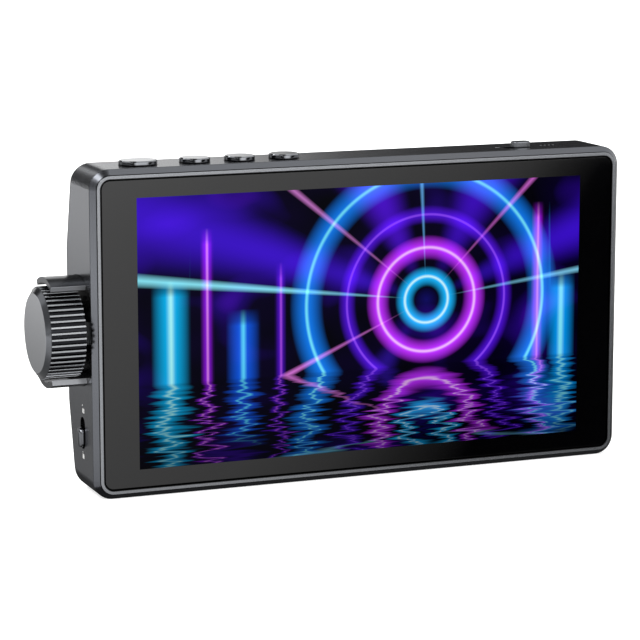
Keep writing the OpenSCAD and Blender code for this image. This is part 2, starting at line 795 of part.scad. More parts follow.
module board_connectors() color("#e4e0d4") {
    block(panel_plug_x - plug_len, panel_plug_x, board_d - panel_plug_t, board_d,
        mid_z - panel_plug_l / 2, mid_z + panel_plug_l / 2);
    block(key_ribbon_x - key_ribbon_w / 2 - plug_over, key_ribbon_x + key_ribbon_w / 2 + plug_over,
        board_back_d, board_back_d + plug_t, board_top_z - plug_len - 2, board_top_z - 2);
    block(board_left_x + 2, board_left_x + 2 + plug_len, board_back_d, board_back_d + plug_t,
        side_ribbon_z - side_ribbon_w / 2 - plug_over, side_ribbon_z + side_ribbon_w / 2 + plug_over);
    block(lead_xs[0] - 2, lead_xs[1] + 2, board_back_d, board_back_d + lead_plug_t,
        contact_root_z - 1, contact_root_z + plug_len - 1);
}

module panel_ribbon() color("#b8792c") {
    out_d = frame_d - backlight_t / 2;
    in_d = board_d - panel_plug_t / 2;
    z0 = mid_z - panel_ribbon_w / 2;
    z1 = mid_z + panel_ribbon_w / 2;
    block(panel_w / 2 - backlight_in, panel_ribbon_x, out_d, out_d + ribbon_t, z0, z1);
    block(panel_ribbon_x - ribbon_t, panel_ribbon_x, out_d, in_d, z0, z1);
    block(panel_plug_x, panel_ribbon_x, in_d - ribbon_t, in_d, z0, z1);
}

module key_ribbon() color("#b8792c")
    block(key_ribbon_x - key_ribbon_w / 2, key_ribbon_x + key_ribbon_w / 2,
        board_back_d + plug_t / 2, board_back_d + plug_t / 2 + ribbon_t,
        board_top_z - 2, key_board_top - board_t);

module side_ribbon() color("#b8792c")
    block(encoder_back_x + board_t, board_left_x + 2,
        board_back_d + plug_t / 2, board_back_d + plug_t / 2 + ribbon_t,
        side_ribbon_z - side_ribbon_w / 2, side_ribbon_z + side_ribbon_w / 2);

module key_board() color("#14532d") difference() {
    block(power_x - key_board_over - 1, function_xs[2] + key_board_over,
        key_board_d, key_board_d + key_board_depth, key_board_top - board_t, key_board_top);
    for (x = key_post_xs)
        translate([x, at(button_d), key_board_top - board_t - 1])
            cylinder(h = board_t + 2, r = post_screw_r + 0.1);
}

module key_switches() color("#303236") for (x = concat([power_x], function_xs))
    translate([x, at(button_d), key_board_top]) difference() {
        translate([0, 0, tact_h / 2]) cube([tact_side, tact_side, tact_h], center = true);
        translate([0, 0, tact_h - stem_dip - button_travel - slack])
            cylinder(h = tact_h, r = tact_bore_r);
    }

// A push button: a top that stands proud, a flange inside the wall and a stem to its switch
module push_button(x, stretch) translate([x, at(button_d), 0]) {
    flange_z = inner_top - 0.05 - flange_t;
    difference() {
        translate([0, 0, flange_z]) linear_extrude(body_h + button_rise - flange_z)
            stadium_or_disc(stretch, button_r);
        // Bevel around the top edge
        translate([0, 0, body_h + button_rise - button_bevel]) difference() {
            linear_extrude(1) stadium_or_disc(stretch, button_r + 1);
            for (s = [-0.5, 0.5]) translate([s * stretch, 0, 0])
                cylinder(h = button_bevel, r1 = button_r, r2 = button_r - button_bevel);
            if (stretch > 0) rotate([90, 0, 90]) translate([0, 0, -stretch / 2])
                linear_extrude(stretch) polygon([[-button_r, 0], [button_r, 0],
                    [button_r - button_bevel, button_bevel],
                    [-button_r + button_bevel, button_bevel]]);
        }
    }
    translate([0, 0, flange_z]) linear_extrude(flange_t)
        stadium_or_disc(stretch, button_flange_r);
    translate([0, 0, key_board_top + tact_h - stem_dip])
        cylinder(h = flange_z - key_board_top - tact_h + stem_dip + eps, r = stem_r);
}

module stadium_or_disc(stretch, r) {
    if (stretch > 0) stadium(stretch + 2 * r, 2 * r);
    else circle(r);
}

module power_button() color("#c9cbce") push_button(power_x, power_stretch);
module function_button_1() color("#c9cbce") push_button(function_xs[0], 0);
module function_button_2() color("#c9cbce") push_button(function_xs[1], 0);
module function_button_3() color("#c9cbce") push_button(function_xs[2], 0);

// A slide switch cap lying along X, at one end of its slot: grip, shoe inside the wall, peg
module slide_cap(side) translate([side * switch_travel / 2, 0, -wall - shoe_gap - shoe_t]) {
    linear_extrude(wall + shoe_gap + shoe_t + cap_rise) stadium(cap_len, cap_w);
    linear_extrude(shoe_t) square([shoe_len, shoe_w], center = true);
    translate([-peg / 2, -peg / 2, -peg_len]) cube([peg, peg, peg_len + eps]);
}

// Channel in a switch body that the cap's peg moves in
module peg_channel() {
    cube([switch_travel + peg + 2 * slack, peg + 2 * slack, 2 * (peg_len + slack)], center = true);
}

module top_switch_body() color("#303236") difference() {
    block(top_switch_x - switch_body_len / 2, top_switch_x + switch_body_len / 2,
        frame_back_d + slack, board_d, board_top_z - 4, inner_top - switch_body_in);
    translate([top_switch_x, at(top_switch_d), inner_top - switch_body_in]) peg_channel();
}

module top_switch_cap() color("#8d9094")
    translate([top_switch_x, at(top_switch_d), body_h]) slide_cap(1);

module side_board() color("#14532d") difference() {
    block(encoder_back_x, encoder_back_x + board_t, knob_d - encoder_side / 2,
        knob_d + encoder_side / 2 - board_in, side_board_low, side_board_high);
    cross_rod(encoder_back_x - 1, encoder_back_x + board_t + 1, knob_d, side_board_high - 1.6, 0.8);
}

module side_switch_body() color("#303236") difference() {
    block(encoder_x + switch_body_in, encoder_back_x,
        side_switch_d - switch_body_w / 2, side_switch_d + switch_body_w / 2,
        side_switch_z - switch_body_len / 2, side_switch_z + switch_body_len / 2);
    translate([encoder_x + switch_body_in, at(side_switch_d), side_switch_z])
        rotate([0, -90, 0]) peg_channel();
}

module side_switch_cap() color("#55585c")
    translate([left_x, at(side_switch_d), side_switch_z]) rotate([0, -90, 0]) slide_cap(-1);

module encoder_body() color("#9fa3a7") difference() {
    union() {
        block(encoder_x, encoder_back_x, knob_d - encoder_side / 2, knob_d + encoder_side / 2,
            mid_z - encoder_side / 2, mid_z + encoder_side / 2);
        cross_rod(left_x - bush_out, encoder_x + eps, knob_d, mid_z, bush_r);
    }
    cross_rod(left_x - bush_out - 1, encoder_x + cavity_front + eps, knob_d, mid_z,
        shaft_r + shaft_play);
    cross_rod(encoder_x + cavity_front, encoder_back_x - cavity_back, knob_d, mid_z, cavity_r);
}

module encoder_nut() color("#b5b8bb") difference() {
    translate([left_x - nut_t, at(knob_d), mid_z]) rotate([0, 90, 0])
        cylinder(h = nut_t, r = nut_r, $fn = 6);
    cross_rod(left_x - nut_t - 1, left_x + 1, knob_d, mid_z, bush_r + 0.02);
}

module encoder_plunger() color("#d9d9d6")
    cross_rod(shaft_end_x, shaft_end_x + plunger_t, knob_d, mid_z, plunger_r);

// Half space on the flat side of the shaft, between two places along X
module shaft_flat_cut(x0, x1, grow) {
    block(x0, x1, knob_d - shaft_r - 1, knob_d + shaft_r + 1,
        mid_z + shaft_flat + grow, mid_z + shaft_r + 1);
}

module knob_shaft() color("#c4c7ca") difference() {
    union() {
        cross_rod(knob_face_x + face_t + slack, shaft_end_x, knob_d, mid_z, shaft_r);
        cross_rod(encoder_x + cavity_front + slack, encoder_x + cavity_front + slack + 0.8,
            knob_d, mid_z, cavity_r - slack);
    }
    shaft_flat_cut(knob_face_x, knob_back_x - hub_back, 0);
}

// Knob outline with ribs: each rib has a flat crest, and the grooves have flat floors
module ribbed_disc() {
    step = 360 / rib_count;
    polygon([for (i = [0 : rib_count - 1], p = [[-0.14, 0], [0.14, 0], [0.28, 1], [0.72, 1]])
        let (a = (i + p[0]) * step, r = knob_r - p[1] * rib_deep) [r * cos(a), r * sin(a)]]);
}

module knob() color("#2e2f33") translate([0, at(knob_d), mid_z]) {
    bevel_r = knob_r - rib_deep;
    difference() {
        union() {
            translate([knob_face_x + knob_bevel, 0, 0]) rotate([90, 0, 90])
                linear_extrude(knob_len - knob_bevel) ribbed_disc();
            translate([knob_face_x, 0, 0]) rotate([0, 90, 0])
                cylinder(h = knob_bevel + eps, r1 = knob_face_r, r2 = bevel_r + 0.3);
        }
        translate([knob_face_x + face_t, 0, 0]) rotate([0, 90, 0])
            cylinder(h = knob_len, r = hollow_r);
    }
    difference() {
        translate([knob_face_x + face_t - eps, 0, 0]) rotate([0, 90, 0])
            cylinder(h = knob_len - face_t - hub_back, r = hub_r);
        difference() {
            translate([knob_face_x + face_t, 0, 0]) rotate([0, 90, 0])
                cylinder(h = knob_len, r = shaft_r + 0.02);
            translate([0, -at(knob_d), -mid_z]) shaft_flat_cut(knob_face_x, knob_back_x, 0.02);
        }
    }
}

// The guard: a plate sunk in the side wall, with two walls that follow the knob
module knob_guard() color("#26272a") difference() {
    union() {
        intersection() {
            cross_rod(left_x, left_x + guard_plate_t, knob_d, mid_z, guard_out_r);
            block(left_x - 1, right_x, chamfer_end_d + fit, body_depth, 0, body_h);
            in_front(cover_edge + fit);
        }
        for (s = [0, 180]) translate([left_x - guard_len, at(knob_d), mid_z])
            rotate([0, 90, 0]) rotate([0, 0, s - guard_angle / 2])
                rotate_extrude(angle = guard_angle)
                    translate([guard_in_r, 0]) square([guard_t, guard_len + eps]);
    }
    cross_rod(left_x - guard_len - 1, left_x + wall, knob_d, mid_z, bush_r + fit);
}

// A video socket: a folded shell with its mouth in the side face
module video_socket(z) color("#c9ccd0") difference() {
    across(socket_mouth_x - video_len, socket_mouth_x) translate([at(video_d), z])
        square([video_shell_h, video_shell_w], center = true);
    across(socket_mouth_x - video_deep, socket_mouth_x + 1) translate([at(video_d), z])
        polygon([for (p = [[-1, -1], [0, -1], [1, -0.8], [1, 0.8], [0, 1], [-1, 1]])
            [p[0] * video_mouth_h / 2, p[1] * video_mouth_w / 2]]);
}

module video_in_socket() video_socket(video_in_z);
module video_out_socket() video_socket(video_out_z);

module data_socket() color("#c9ccd0") difference() {
    across(socket_mouth_x - data_len, socket_mouth_x) translate([at(data_d), data_socket_z])
        rotate(90) stadium(data_w, data_h);
    across(socket_mouth_x - data_len + 1, socket_mouth_x + 1)
        translate([at(data_d), data_socket_z]) rotate(90)
            stadium(data_w - 2 * shell_t, data_h - 2 * shell_t);
}

module socket_tongues() color("#151517") {
    for (z = [video_in_z, video_out_z])
        block(socket_mouth_x - video_deep, socket_mouth_x - video_tongue_in,
            video_d + fit, video_d + fit + video_tongue_t,
            z - video_mouth_w / 2 + video_tongue_t, z + video_mouth_w / 2 - video_tongue_t);
    block(socket_mouth_x - data_len + 1, socket_mouth_x - data_tongue_in,
        data_d - data_tongue_t / 2, data_d + data_tongue_t / 2,
        data_socket_z - data_tongue_w / 2, data_socket_z + data_tongue_w / 2);
}

module power_socket() color("#1b1b1d") difference() {
    union() {
        block(inner_x - power_len + wall, inner_x - fit, board_back_d, board_back_d + power_h,
            power_socket_z - power_side / 2, power_socket_z + power_side / 2);
        cross_rod(inner_x - 1, socket_mouth_x, power_d, power_socket_z, power_bore_r + nose_wall);
    }
    cross_rod(inner_x - power_len + wall + 1.5, right_x + 1, power_d, power_socket_z, power_bore_r);
}

module power_pin() color("#c4b070")
    cross_rod(inner_x - power_len + wall + 1.5, socket_mouth_x - 1, power_d, power_socket_z,
        power_pin_r);

module headphone_socket() color("#1b1b1d") difference() {
    union() {
        block(inner_x - headphone_len + wall, inner_x - fit, board_back_d,
            board_back_d + headphone_h, headphone_z - headphone_side / 2,
            headphone_z + headphone_side / 2);
        cross_rod(inner_x - 1, socket_mouth_x, headphone_d, headphone_z,
            headphone_bore_r + nose_wall);
    }
    cross_rod(inner_x - headphone_len + wall + 1, right_x + 1, headphone_d, headphone_z,
        headphone_bore_r);
}

// Slots that the contacts' roots and blades pass through
module contact_slots() {
    for (x = contact_xs) {
        block(x - contact_t / 2 - fit, x + contact_t / 2 + fit, 0, contact_d + contact_h + fit,
            contact_root_z - fit, contact_root_z + 1 + fit);
        block(x - contact_t / 2 - fit, x + contact_t / 2 + fit, contact_d - fit,
            contact_d + contact_h + fit, contact_root_z, stop_top_z + 1);
    }
}

module battery_plate() color("#202124") difference() {
    union() {
        // Base: its front lies on the sloped back, its face is flat
        difference() {
            block(-plate_w / 2, plate_w / 2, 0, plate_face_d, plate_z, plate_z + plate_len);
            in_front(-0.02);
        }
        for (sx = [-1, 1]) {
            block(min(sx * channel_w / 2, sx * plate_w / 2), max(sx * channel_w / 2,
                sx * plate_w / 2), plate_face_d - eps, rail_back_d, stop_z, plate_z + plate_len);
            for (z = [stop_top_z + 4, (stop_top_z + plate_z + plate_len - hook_len) / 2 + 1,
                    plate_z + plate_len - hook_len - 2])
                block(sx > 0 ? channel_w / 2 - hook_in : -channel_w / 2 - eps,
                    sx > 0 ? channel_w / 2 + eps : -channel_w / 2 + hook_in,
                    rail_back_d - hook_t, rail_back_d, z, z + hook_len);
        }
        block(-channel_w / 2 - eps, channel_w / 2 + eps, plate_face_d - eps, rail_back_d,
            stop_z, stop_top_z);
    }
    // Pocket of the release button, and the way for its arm and tooth
    block(-latch_w / 2 - slack, latch_w / 2 + slack, latch_floor_d, rail_back_d + 1,
        latch_z - slack, latch_z + latch_h + slack);
    block(-arm_w / 2 - slack, arm_w / 2 + slack, arm_d - latch_travel - slack,
        arm_d + arm_t + slack, latch_z + latch_h - eps, tooth_z + tooth_h + slack);
    block(-arm_w / 2 - slack, arm_w / 2 + slack, arm_d, plate_face_d + 1,
        tooth_z - slack, tooth_z + tooth_h + slack);
    contact_slots();
    for (sx = [-1, 1], z = plate_screw_zs) {
        rod(sx * plate_screw_x, z, 0, plate_face_d + 1, hole_r);
        rod(sx * plate_screw_x, z, plate_face_d - screw_head_t - head_sunk, plate_face_d + 1,
            screw_head_r + fit);
    }
}

module plate_screws() color("#a5a8ab") for (sx = [-1, 1], z = plate_screw_zs)
    cross_screw(sx * plate_screw_x, z, plate_face_d - screw_head_t - head_sunk,
        body_depth - cover_t - 0.8);

module battery_contacts() color("#d4af5a") for (x = contact_xs) {
    block(x - contact_t / 2, x + contact_t / 2, tail_d, contact_d + contact_h,
        contact_root_z, contact_root_z + 1);
    block(x - contact_t / 2, x + contact_t / 2, contact_d, contact_d + contact_h,
        contact_root_z + 1 - eps, stop_top_z + contact_len);
}

module battery_leads() color("#b03030") for (x = lead_xs)
    rod(x, contact_root_z + 0.5, board_back_d + lead_plug_t, tail_d, lead_r);

module battery_latch() color("#5b5e63") {
    difference() {
        block(-latch_w / 2, latch_w / 2, latch_front_d, plate_face_d + latch_rise,
            latch_z, latch_z + latch_h);
        rod(0, latch_z + latch_h / 2, latch_front_d - 1, plate_face_d - latch_skin,
            spring_r + wire_r + 0.2);
    }
    block(-arm_w / 2, arm_w / 2, arm_d, arm_d + arm_t, latch_z + latch_h - eps, tooth_z + tooth_h);
    block(-arm_w / 2, arm_w / 2, arm_d, plate_face_d + tooth_h, tooth_z, tooth_z + tooth_h);
}

// The spring's wire follows a helix between the pocket's floor and the button's hollow
function spring_point(i, k) =
    let (a = 360 * i / spring_steps, b = 360 * k / spring_sides,
        r = spring_r + wire_r * cos(b),
        y = wire_r + (spring_len - 2 * wire_r) * i / spring_rings + wire_r * sin(b))
    [r * cos(a), y, r * sin(a)];

module latch_spring() color("#c9ccd0")
    translate([0, at(latch_floor_d), latch_z + latch_h / 2]) polyhedron(
        points = [for (i = [0 : spring_rings], k = [0 : spring_sides - 1]) spring_point(i, k)],
        faces = concat(
            [[for (k = [spring_sides - 1 : -1 : 0]) k]],
            [[for (k = [0 : spring_sides - 1]) spring_rings * spring_sides + k]],
            [for (i = [0 : spring_rings - 1], k = [0 : spring_sides - 1], half = [0, 1])
                let (p = i * spring_sides + k, q = i * spring_sides + (k + 1) % spring_sides)
                half == 0 ? [p, q, p + spring_sides]
                    : [q, q + spring_sides, p + spring_sides]]));

module stand_insert() color("#c8a24a") difference() {
    union() {
        cylinder(h = thread_len, r = insert_r - 0.02);
        cylinder(h = 0.6, r = insert_r + 0.4);
    }
    translate([0, 0, -1]) cylinder(h = thread_len + 2, r = thread_r);
}

front_bezel();
cover_glass();
glass_tape();
lcd_panel();
backlight_unit();
inner_frame();
frame_screws();
housing();
rear_cover();
rear_screws();
main_board();
board_screws();
main_chips();
thermal_pad();
heat_sink();
board_connectors();
panel_ribbon();
key_ribbon();
side_ribbon();
key_board();
key_switches();
power_button();
function_button_1();
function_button_2();
function_button_3();
top_switch_body();
top_switch_cap();
side_board();
side_switch_body();
side_switch_cap();
encoder_body();
encoder_nut();
encoder_plunger();
knob_shaft();
knob();
knob_guard();
video_in_socket();
video_out_socket();
data_socket();
socket_tongues();
power_socket();
power_pin();
headphone_socket();
battery_plate();
plate_screws();
battery_contacts();
battery_leads();
battery_latch();
latch_spring();
stand_insert();
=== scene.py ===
# %% [markdown]
# # A camera field monitor
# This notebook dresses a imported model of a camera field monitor. The model brings every piece in
# its right place and size, and the joints that move them. What is made here is what the eye
# adds: the skins of metals, plastics and glass, the lit picture, small prints, contact strips,
# rounded caps, a wound spring and a real screw thread. All lengths are metres. The origin is
# the middle of the stand thread's mouth, on the bottom face. X runs to the right as seen from
# the screen side, Y to the back, Z up.

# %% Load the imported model
import math

import bmesh
import bpy
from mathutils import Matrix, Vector


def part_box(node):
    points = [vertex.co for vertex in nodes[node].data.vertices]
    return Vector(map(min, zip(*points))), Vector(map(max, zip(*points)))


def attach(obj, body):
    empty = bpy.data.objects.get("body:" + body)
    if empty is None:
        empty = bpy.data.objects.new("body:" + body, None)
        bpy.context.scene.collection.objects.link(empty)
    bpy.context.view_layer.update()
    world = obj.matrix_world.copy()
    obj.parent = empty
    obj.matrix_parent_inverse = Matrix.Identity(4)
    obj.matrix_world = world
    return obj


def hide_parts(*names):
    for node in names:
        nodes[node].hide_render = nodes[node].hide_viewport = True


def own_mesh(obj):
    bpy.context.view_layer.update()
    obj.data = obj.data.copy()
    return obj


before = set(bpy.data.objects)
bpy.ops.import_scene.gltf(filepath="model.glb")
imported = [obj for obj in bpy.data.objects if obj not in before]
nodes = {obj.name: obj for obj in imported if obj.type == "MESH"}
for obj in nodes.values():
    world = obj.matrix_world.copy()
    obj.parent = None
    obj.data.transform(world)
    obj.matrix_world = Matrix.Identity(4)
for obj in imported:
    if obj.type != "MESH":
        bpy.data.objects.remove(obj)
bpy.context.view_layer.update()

# %% [markdown]
# The model was measured in millimetres, so one short name turns them into metres. Depths are
# counted from the glass's front face to the back, because that is how the photograph was
# measured. The body's outline comes from the housing.

# %% Millimetres and depths
MM = 0.001
glass_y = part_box("cover_glass")[0].y
lip_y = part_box("front_bezel")[0].y
body_low, body_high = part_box("housing")
mid_z = (body_low.z + body_high.z) / 2
left_x, top_z = body_low.x, body_high.z


def depth(d):
    """The Y of a depth in millimetres behind the glass's front face."""
    return glass_y + d * MM


print("glass front at", round(glass_y, 4), "middle height", round(mid_z, 4))

# %% [markdown]
# ## Camera
# The camera stands where the photograph's camera stood. Its place was solved from the corners
# of the lit picture and of the body: a long lens, 0.68 m away, to the left and a little above.
# The Standard view shows each colour as it is written.

# %% Camera
camera_data = bpy.data.cameras.new("camera")
camera_data.sensor_width = 36
camera_data.lens = 151.12
camera_data.clip_start, camera_data.clip_end = 0.01, 50
camera = bpy.data.objects.new("camera", camera_data)
bpy.context.scene.collection.objects.link(camera)
camera.location = (-0.25854, -0.63147, 0.16251)
aim = Vector((-0.01233, -0.0103, 0.04178))
looking = (aim - camera.location).to_track_quat("-Z", "Y")
camera.rotation_euler = looking.to_euler()
bpy.context.scene.camera = camera
bpy.context.scene.view_settings.view_transform = "Standard"
print("camera", round((aim - camera.location).length, 3), "m from its aim")

# %% [markdown]
# ## Building materials
# A material here is a small graph of nodes. One function adds any node with its settings and
# its inputs. Another turns a colour as written on a paint chart (sRGB hex) into the linear
# light that the renderer counts in. A third grades a value along stops, which are written in
# the value's own units.


# %% Colours, nodes and grades
def linear(hex_colour):
    """sRGB hex to linear RGBA."""
    parts = [int(hex_colour[i : i + 2], 16) / 255 for i in (0, 2, 4)]
    return [c / 12.92 if c <= 0.04045 else ((c + 0.055) / 1.055) ** 2.4 for c in parts] + [1]


def add(tree, kind, inputs=None, **settings):
    """Adds a node. Settings are its properties; an input takes a value or another's output."""
    made = tree.nodes.new(kind)
    for name, value in settings.items():
        setattr(made, name, value)
    for socket, value in (inputs or {}).items():
        if isinstance(value, bpy.types.NodeSocket):
            tree.links.new(value, made.inputs[socket])
        else:
            made.inputs[socket].default_value = value
    return made


def graded(tree, value, stops, smooth=False):
    """Colours a value along stops (place, colour), where a colour is hex or a grey level."""
    low, high = stops[0][0], stops[-1][0]
    spread = add(tree, "ShaderNodeMapRange", {"Value": value, "From Min": low, "From Max": high})
    ramp = add(tree, "ShaderNodeValToRGB", {"Fac": spread.outputs["Result"]})
    ramp.color_ramp.interpolation = "EASE" if smooth else "LINEAR"
    elements = ramp.color_ramp.elements
    while len(elements) < len(stops):
        elements.new(1.0)
    for element, (place, colour) in zip(elements, stops):
        element.position = (place - low) / (high - low)
        element.color = linear(colour) if isinstance(colour, str) else [colour] * 3 + [1]
    return ramp.outputs["Color"]


print("chart grey 808080 is", round(linear("808080")[0], 3), "in linear light")

# %% [markdown]
# The shader is Blender's Principled one: it takes colour, roughness and metal or glass in one
# node, so a finish only has to feed it. The few materials that shine by themselves, such as the
# floor and the cards, empty the graph and use plain light instead.

# %% An empty material


def new_material(name):
    """A material with an empty graph but for its standard shader."""
    material = bpy.data.materials.new(name)
    material.use_nodes = True
    return material, material.node_tree, material.node_tree.nodes["Principled BSDF"]


# %% [markdown]
# Every solid finish has three things in common. Its colour drifts a little over centimetres,
# its gloss varies with its grain, and no edge of a real piece is perfectly sharp: a rounded
# edge a tenth of a millimetre wide catches the light as a fine line. The edges could be rounded
# in the mesh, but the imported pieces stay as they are, and Blender's Bevel node bends the light
# there just as well.


# %% The base of all finishes
def finish(name, base, rough, grain=0.2, bump=0.0, uneven=0.04, tone=0.08, edge=0.12, **values):
    """A solid finish. grain is the grain's size in mm, bump its height in mm, uneven how far
    the roughness varies, tone how far the colour drifts, edge the edges' radius in mm."""
    material, tree, shader = new_material(name)
    place = add(tree, "ShaderNodeTexCoord").outputs["Object"]
    fine = add(tree, "ShaderNodeTexNoise",
               {"Vector": place, "Scale": 1 / (grain * MM), "Detail": 2.0}).outputs["Fac"]
    broad = add(tree, "ShaderNodeTexNoise", {"Vector": place, "Scale": 90.0, "Detail": 3.0})
    dark, pale = [[c * (1 + side * tone) for c in linear(base)[:3]] + [1] for side in (-1, 1)]
    colour = add(tree, "ShaderNodeMix", {0: broad.outputs["Fac"], 6: dark, 7: pale},
                 data_type="RGBA")
    tree.links.new(colour.outputs[2], shader.inputs["Base Color"])
    gloss = add(tree, "ShaderNodeMapRange", {"Value": fine, "To Min": max(rough - uneven, 0.0),
                                             "To Max": rough + uneven})
    tree.links.new(gloss.outputs["Result"], shader.inputs["Roughness"])
    soft_edge = add(tree, "ShaderNodeBevel", {"Radius": edge * MM}, samples=4)
    relief = add(tree, "ShaderNodeBump", {"Height": fine, "Distance": bump * MM,
                                          "Normal": soft_edge.outputs["Normal"]})
    tree.links.new(relief.outputs["Normal"], shader.inputs["Normal"])
    for socket, value in values.items():
        shader.inputs[socket.replace("_", " ")].default_value = value
    return material


def dress(material, *names):
    """Gives CAD nodes their finish."""
    for name in names:
        slots = nodes[name].data.materials
        slots.clear()
        slots.append(material)
    print(material.name, "on", ", ".join(names))


# %% [markdown]
# ## The black case
# The bezel, the middle shell and the rear cover are die-cast aluminium, blasted fine and
# anodised to a dark graphite. Such a skin is a dim metal mirror: it has no white of its own,
# and shows a soft picture of whatever is bright or dark around it. The blasted grain is about
# 0.1 mm wide, too fine to show from here, so it is drawn at 0.2 mm.

# %% Case finish
case_metal = finish("graphite_anodised_aluminium", "696b70", 0.25, grain=0.2, bump=0.0006,
                    uneven=0.02, tone=0.05, edge=0.1, Metallic=1.0)
dress(case_metal, "housing", "rear_cover")

# %% [markdown]
# The bezel has the same skin, a touch smoother, but the flat lip around the glass was machined
# after blasting. The lip is brighter. A fine dark line of painted shade parts it from the slope,
# where the step would be in shadow, and another lies in the seam where the slope meets the
# housing. The lip's face is the foremost part of the bezel, so a ramp on the depth finds lip, step
# and slope. A cut face also scatters some light, so there the metal share drops to three quarters.

# %% Bezel finish
SLOPE_END = 1.6  # depth at which the slope meets the housing, mm
bezel_metal = finish("graphite_anodised_bezel", "696b70", 0.23, grain=0.2, bump=0.0006,
                     uneven=0.02, tone=0.05, edge=0.1, Metallic=1.0)
tree = bezel_metal.node_tree
shader = tree.nodes["Principled BSDF"]
plain_colour = shader.inputs["Base Color"].links[0].from_socket
place = add(tree, "ShaderNodeTexCoord").outputs["Object"]
bezel_depth = add(tree, "ShaderNodeSeparateXYZ", {"Vector": place}).outputs["Y"]
on_lip = graded(tree, bezel_depth, [(lip_y + 0.02 * MM, 1.0), (lip_y + 0.06 * MM, 0.0)])
lip_colour = add(tree, "ShaderNodeMix", {0: on_lip, 6: plain_colour, 7: linear("8a8c90")},
                 data_type="RGBA")
# painted shade: a dark line at the step behind the lip and another in the seam by the housing; the
# white stops leave the colour as it is
step_and_seam_shade_stops = [(lip_y + 0.03 * MM, "ffffff"), (lip_y + 0.06 * MM, "303032"),
            (lip_y + 0.22 * MM, "303032"), (lip_y + 0.3 * MM, "ffffff"),
            (depth(SLOPE_END - 0.2), "ffffff"), (depth(SLOPE_END - 0.15), "202022")]
step = graded(tree, bezel_depth, step_and_seam_shade_stops)
with_step_and_seam_shade = add(tree, "ShaderNodeMix", {0: 1.0, 6: lip_colour.outputs[2], 7: step},
              data_type="RGBA", blend_type="MULTIPLY").outputs[2]
tree.links.new(graded(tree, bezel_depth, [(lip_y + 0.02 * MM, 0.75), (lip_y + 0.06 * MM, 1.0)]),
               shader.inputs["Metallic"])
print("lip at y", round(lip_y / MM, 2), "mm, slope to", round(depth(SLOPE_END) / MM, 2), "mm")

# %% [markdown]
# The narrow gap between lip and glass, and the lip's inner edge that rolls over into it, are
# painted black: painted shade, because hardly any light gets in there. All this lies near the
# lip's mouth, a rectangle with round corners, so the distance to it finds them.

# %% Black gap around the glass
GLASS_GAP, MOUTH_R = 0.35, 2.5  # gap around the glass and radius of the lip's mouth, mm
ROLL_IN, ROLL_OUT = 0.12, 0.26  # where the rolled edge starts to darken and ends, mm
glass_low, glass_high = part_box("cover_glass")
corner_x = glass_high.x + (GLASS_GAP - MOUTH_R) * MM
corner_z = (glass_high.z - glass_low.z) / 2 + (GLASS_GAP - MOUTH_R) * MM
middle = add(tree, "ShaderNodeVectorMath", {0: place, 1: (0, 0, mid_z)}, operation="SUBTRACT")
folded = add(tree, "ShaderNodeVectorMath", {0: middle.outputs[0]}, operation="ABSOLUTE")
beyond = add(tree, "ShaderNodeVectorMath", {0: folded.outputs[0], 1: (corner_x, 1, corner_z)},
             operation="SUBTRACT")
outside = add(tree, "ShaderNodeVectorMath", {0: beyond.outputs[0], 1: (0, 0, 0)},
              operation="MAXIMUM")
round_r = add(tree, "ShaderNodeVectorMath", {0: outside.outputs[0]}, operation="LENGTH")
# painted shade: black in the gap, fading out over the lip's rolled inner edge
painted_gap_shade = graded(tree, round_r.outputs["Value"], [((MOUTH_R + ROLL_IN) * MM, 1.0),
                                                 ((MOUTH_R + ROLL_OUT) * MM, 0.0)])
gap_shaded_colour = add(tree, "ShaderNodeMix", {0: painted_gap_shade, 6: with_step_and_seam_shade, 7: linear("0a0a0b")},
             data_type="RGBA")
tree.links.new(gap_shaded_colour.outputs[2], shader.inputs["Base Color"])
dress(bezel_metal, "front_bezel")

# %% [markdown]
# ## Plastics
# The plastic pieces are injection-moulded. Their moulds are spark-eroded, which leaves a matt
# grain of about 0.05 mm. That is too fine to show, so it is drawn at 0.2 to 0.4 mm. One black
# plastic for all could do, but each kind scatters light in its own way, and that tells a cover
# from a connector.

# %% Moulded plastics
# ABS of plate and release: matt, its highlights spread wide
plate_plastic = finish("moulded_black_abs", "151517", 0.48, grain=0.4, bump=0.006, IOR=1.5)
latch_plastic = finish("moulded_grey_abs", "3c3e42", 0.45, grain=0.4, bump=0.005, IOR=1.5)
# Liquid crystal polymer: hard and glossy, so the sockets' mouths glint
socket_plastic = finish("glossy_black_lcp", "101012", 0.22, grain=0.3, bump=0.001, IOR=1.55)
# Nylon: a little waxy
body_plastic = finish("black_nylon", "242528", 0.5, grain=0.3, bump=0.004, IOR=1.5)
cream_plastic = finish("cream_nylon", "d9d3c2", 0.45, grain=0.3, bump=0.003, IOR=1.5)
# Polycarbonate, white all through, because it sends the backlight's light forward
white_plastic = finish("white_polycarbonate", "dcdcde", 0.4, grain=0.3, bump=0.002, IOR=1.58)
# Epoxy filled with glass powder: the dull grey-black of chips
chip_epoxy = finish("moulded_black_epoxy", "1a1a1c", 0.55, grain=0.2, bump=0.004, IOR=1.55)
dress(plate_plastic, "battery_plate")
dress(socket_plastic, "power_socket", "headphone_socket", "socket_tongues")
dress(body_plastic, "top_switch_body", "side_switch_body", "key_switches")
dress(latch_plastic, "battery_latch")
dress(cream_plastic, "board_connectors", "encoder_plunger")
dress(white_plastic, "backlight_unit")
dress(chip_epoxy, "main_chips")

# %% [markdown]
# ## Metals
# A bare metal has no colour but that of its mirror, so these differ in the tint of what they
# mirror and in how sharp it is. Plated pieces are smooth, as the coat fills the grain of the
# sheet; pieces that come straight from a press or a lathe keep a broader shine.

# %% Metals
# Nickel on steel: pale and slightly warm
nickel = finish("nickel_plated_steel", "b9b7b2", 0.25, bump=0.001, Metallic=1.0)
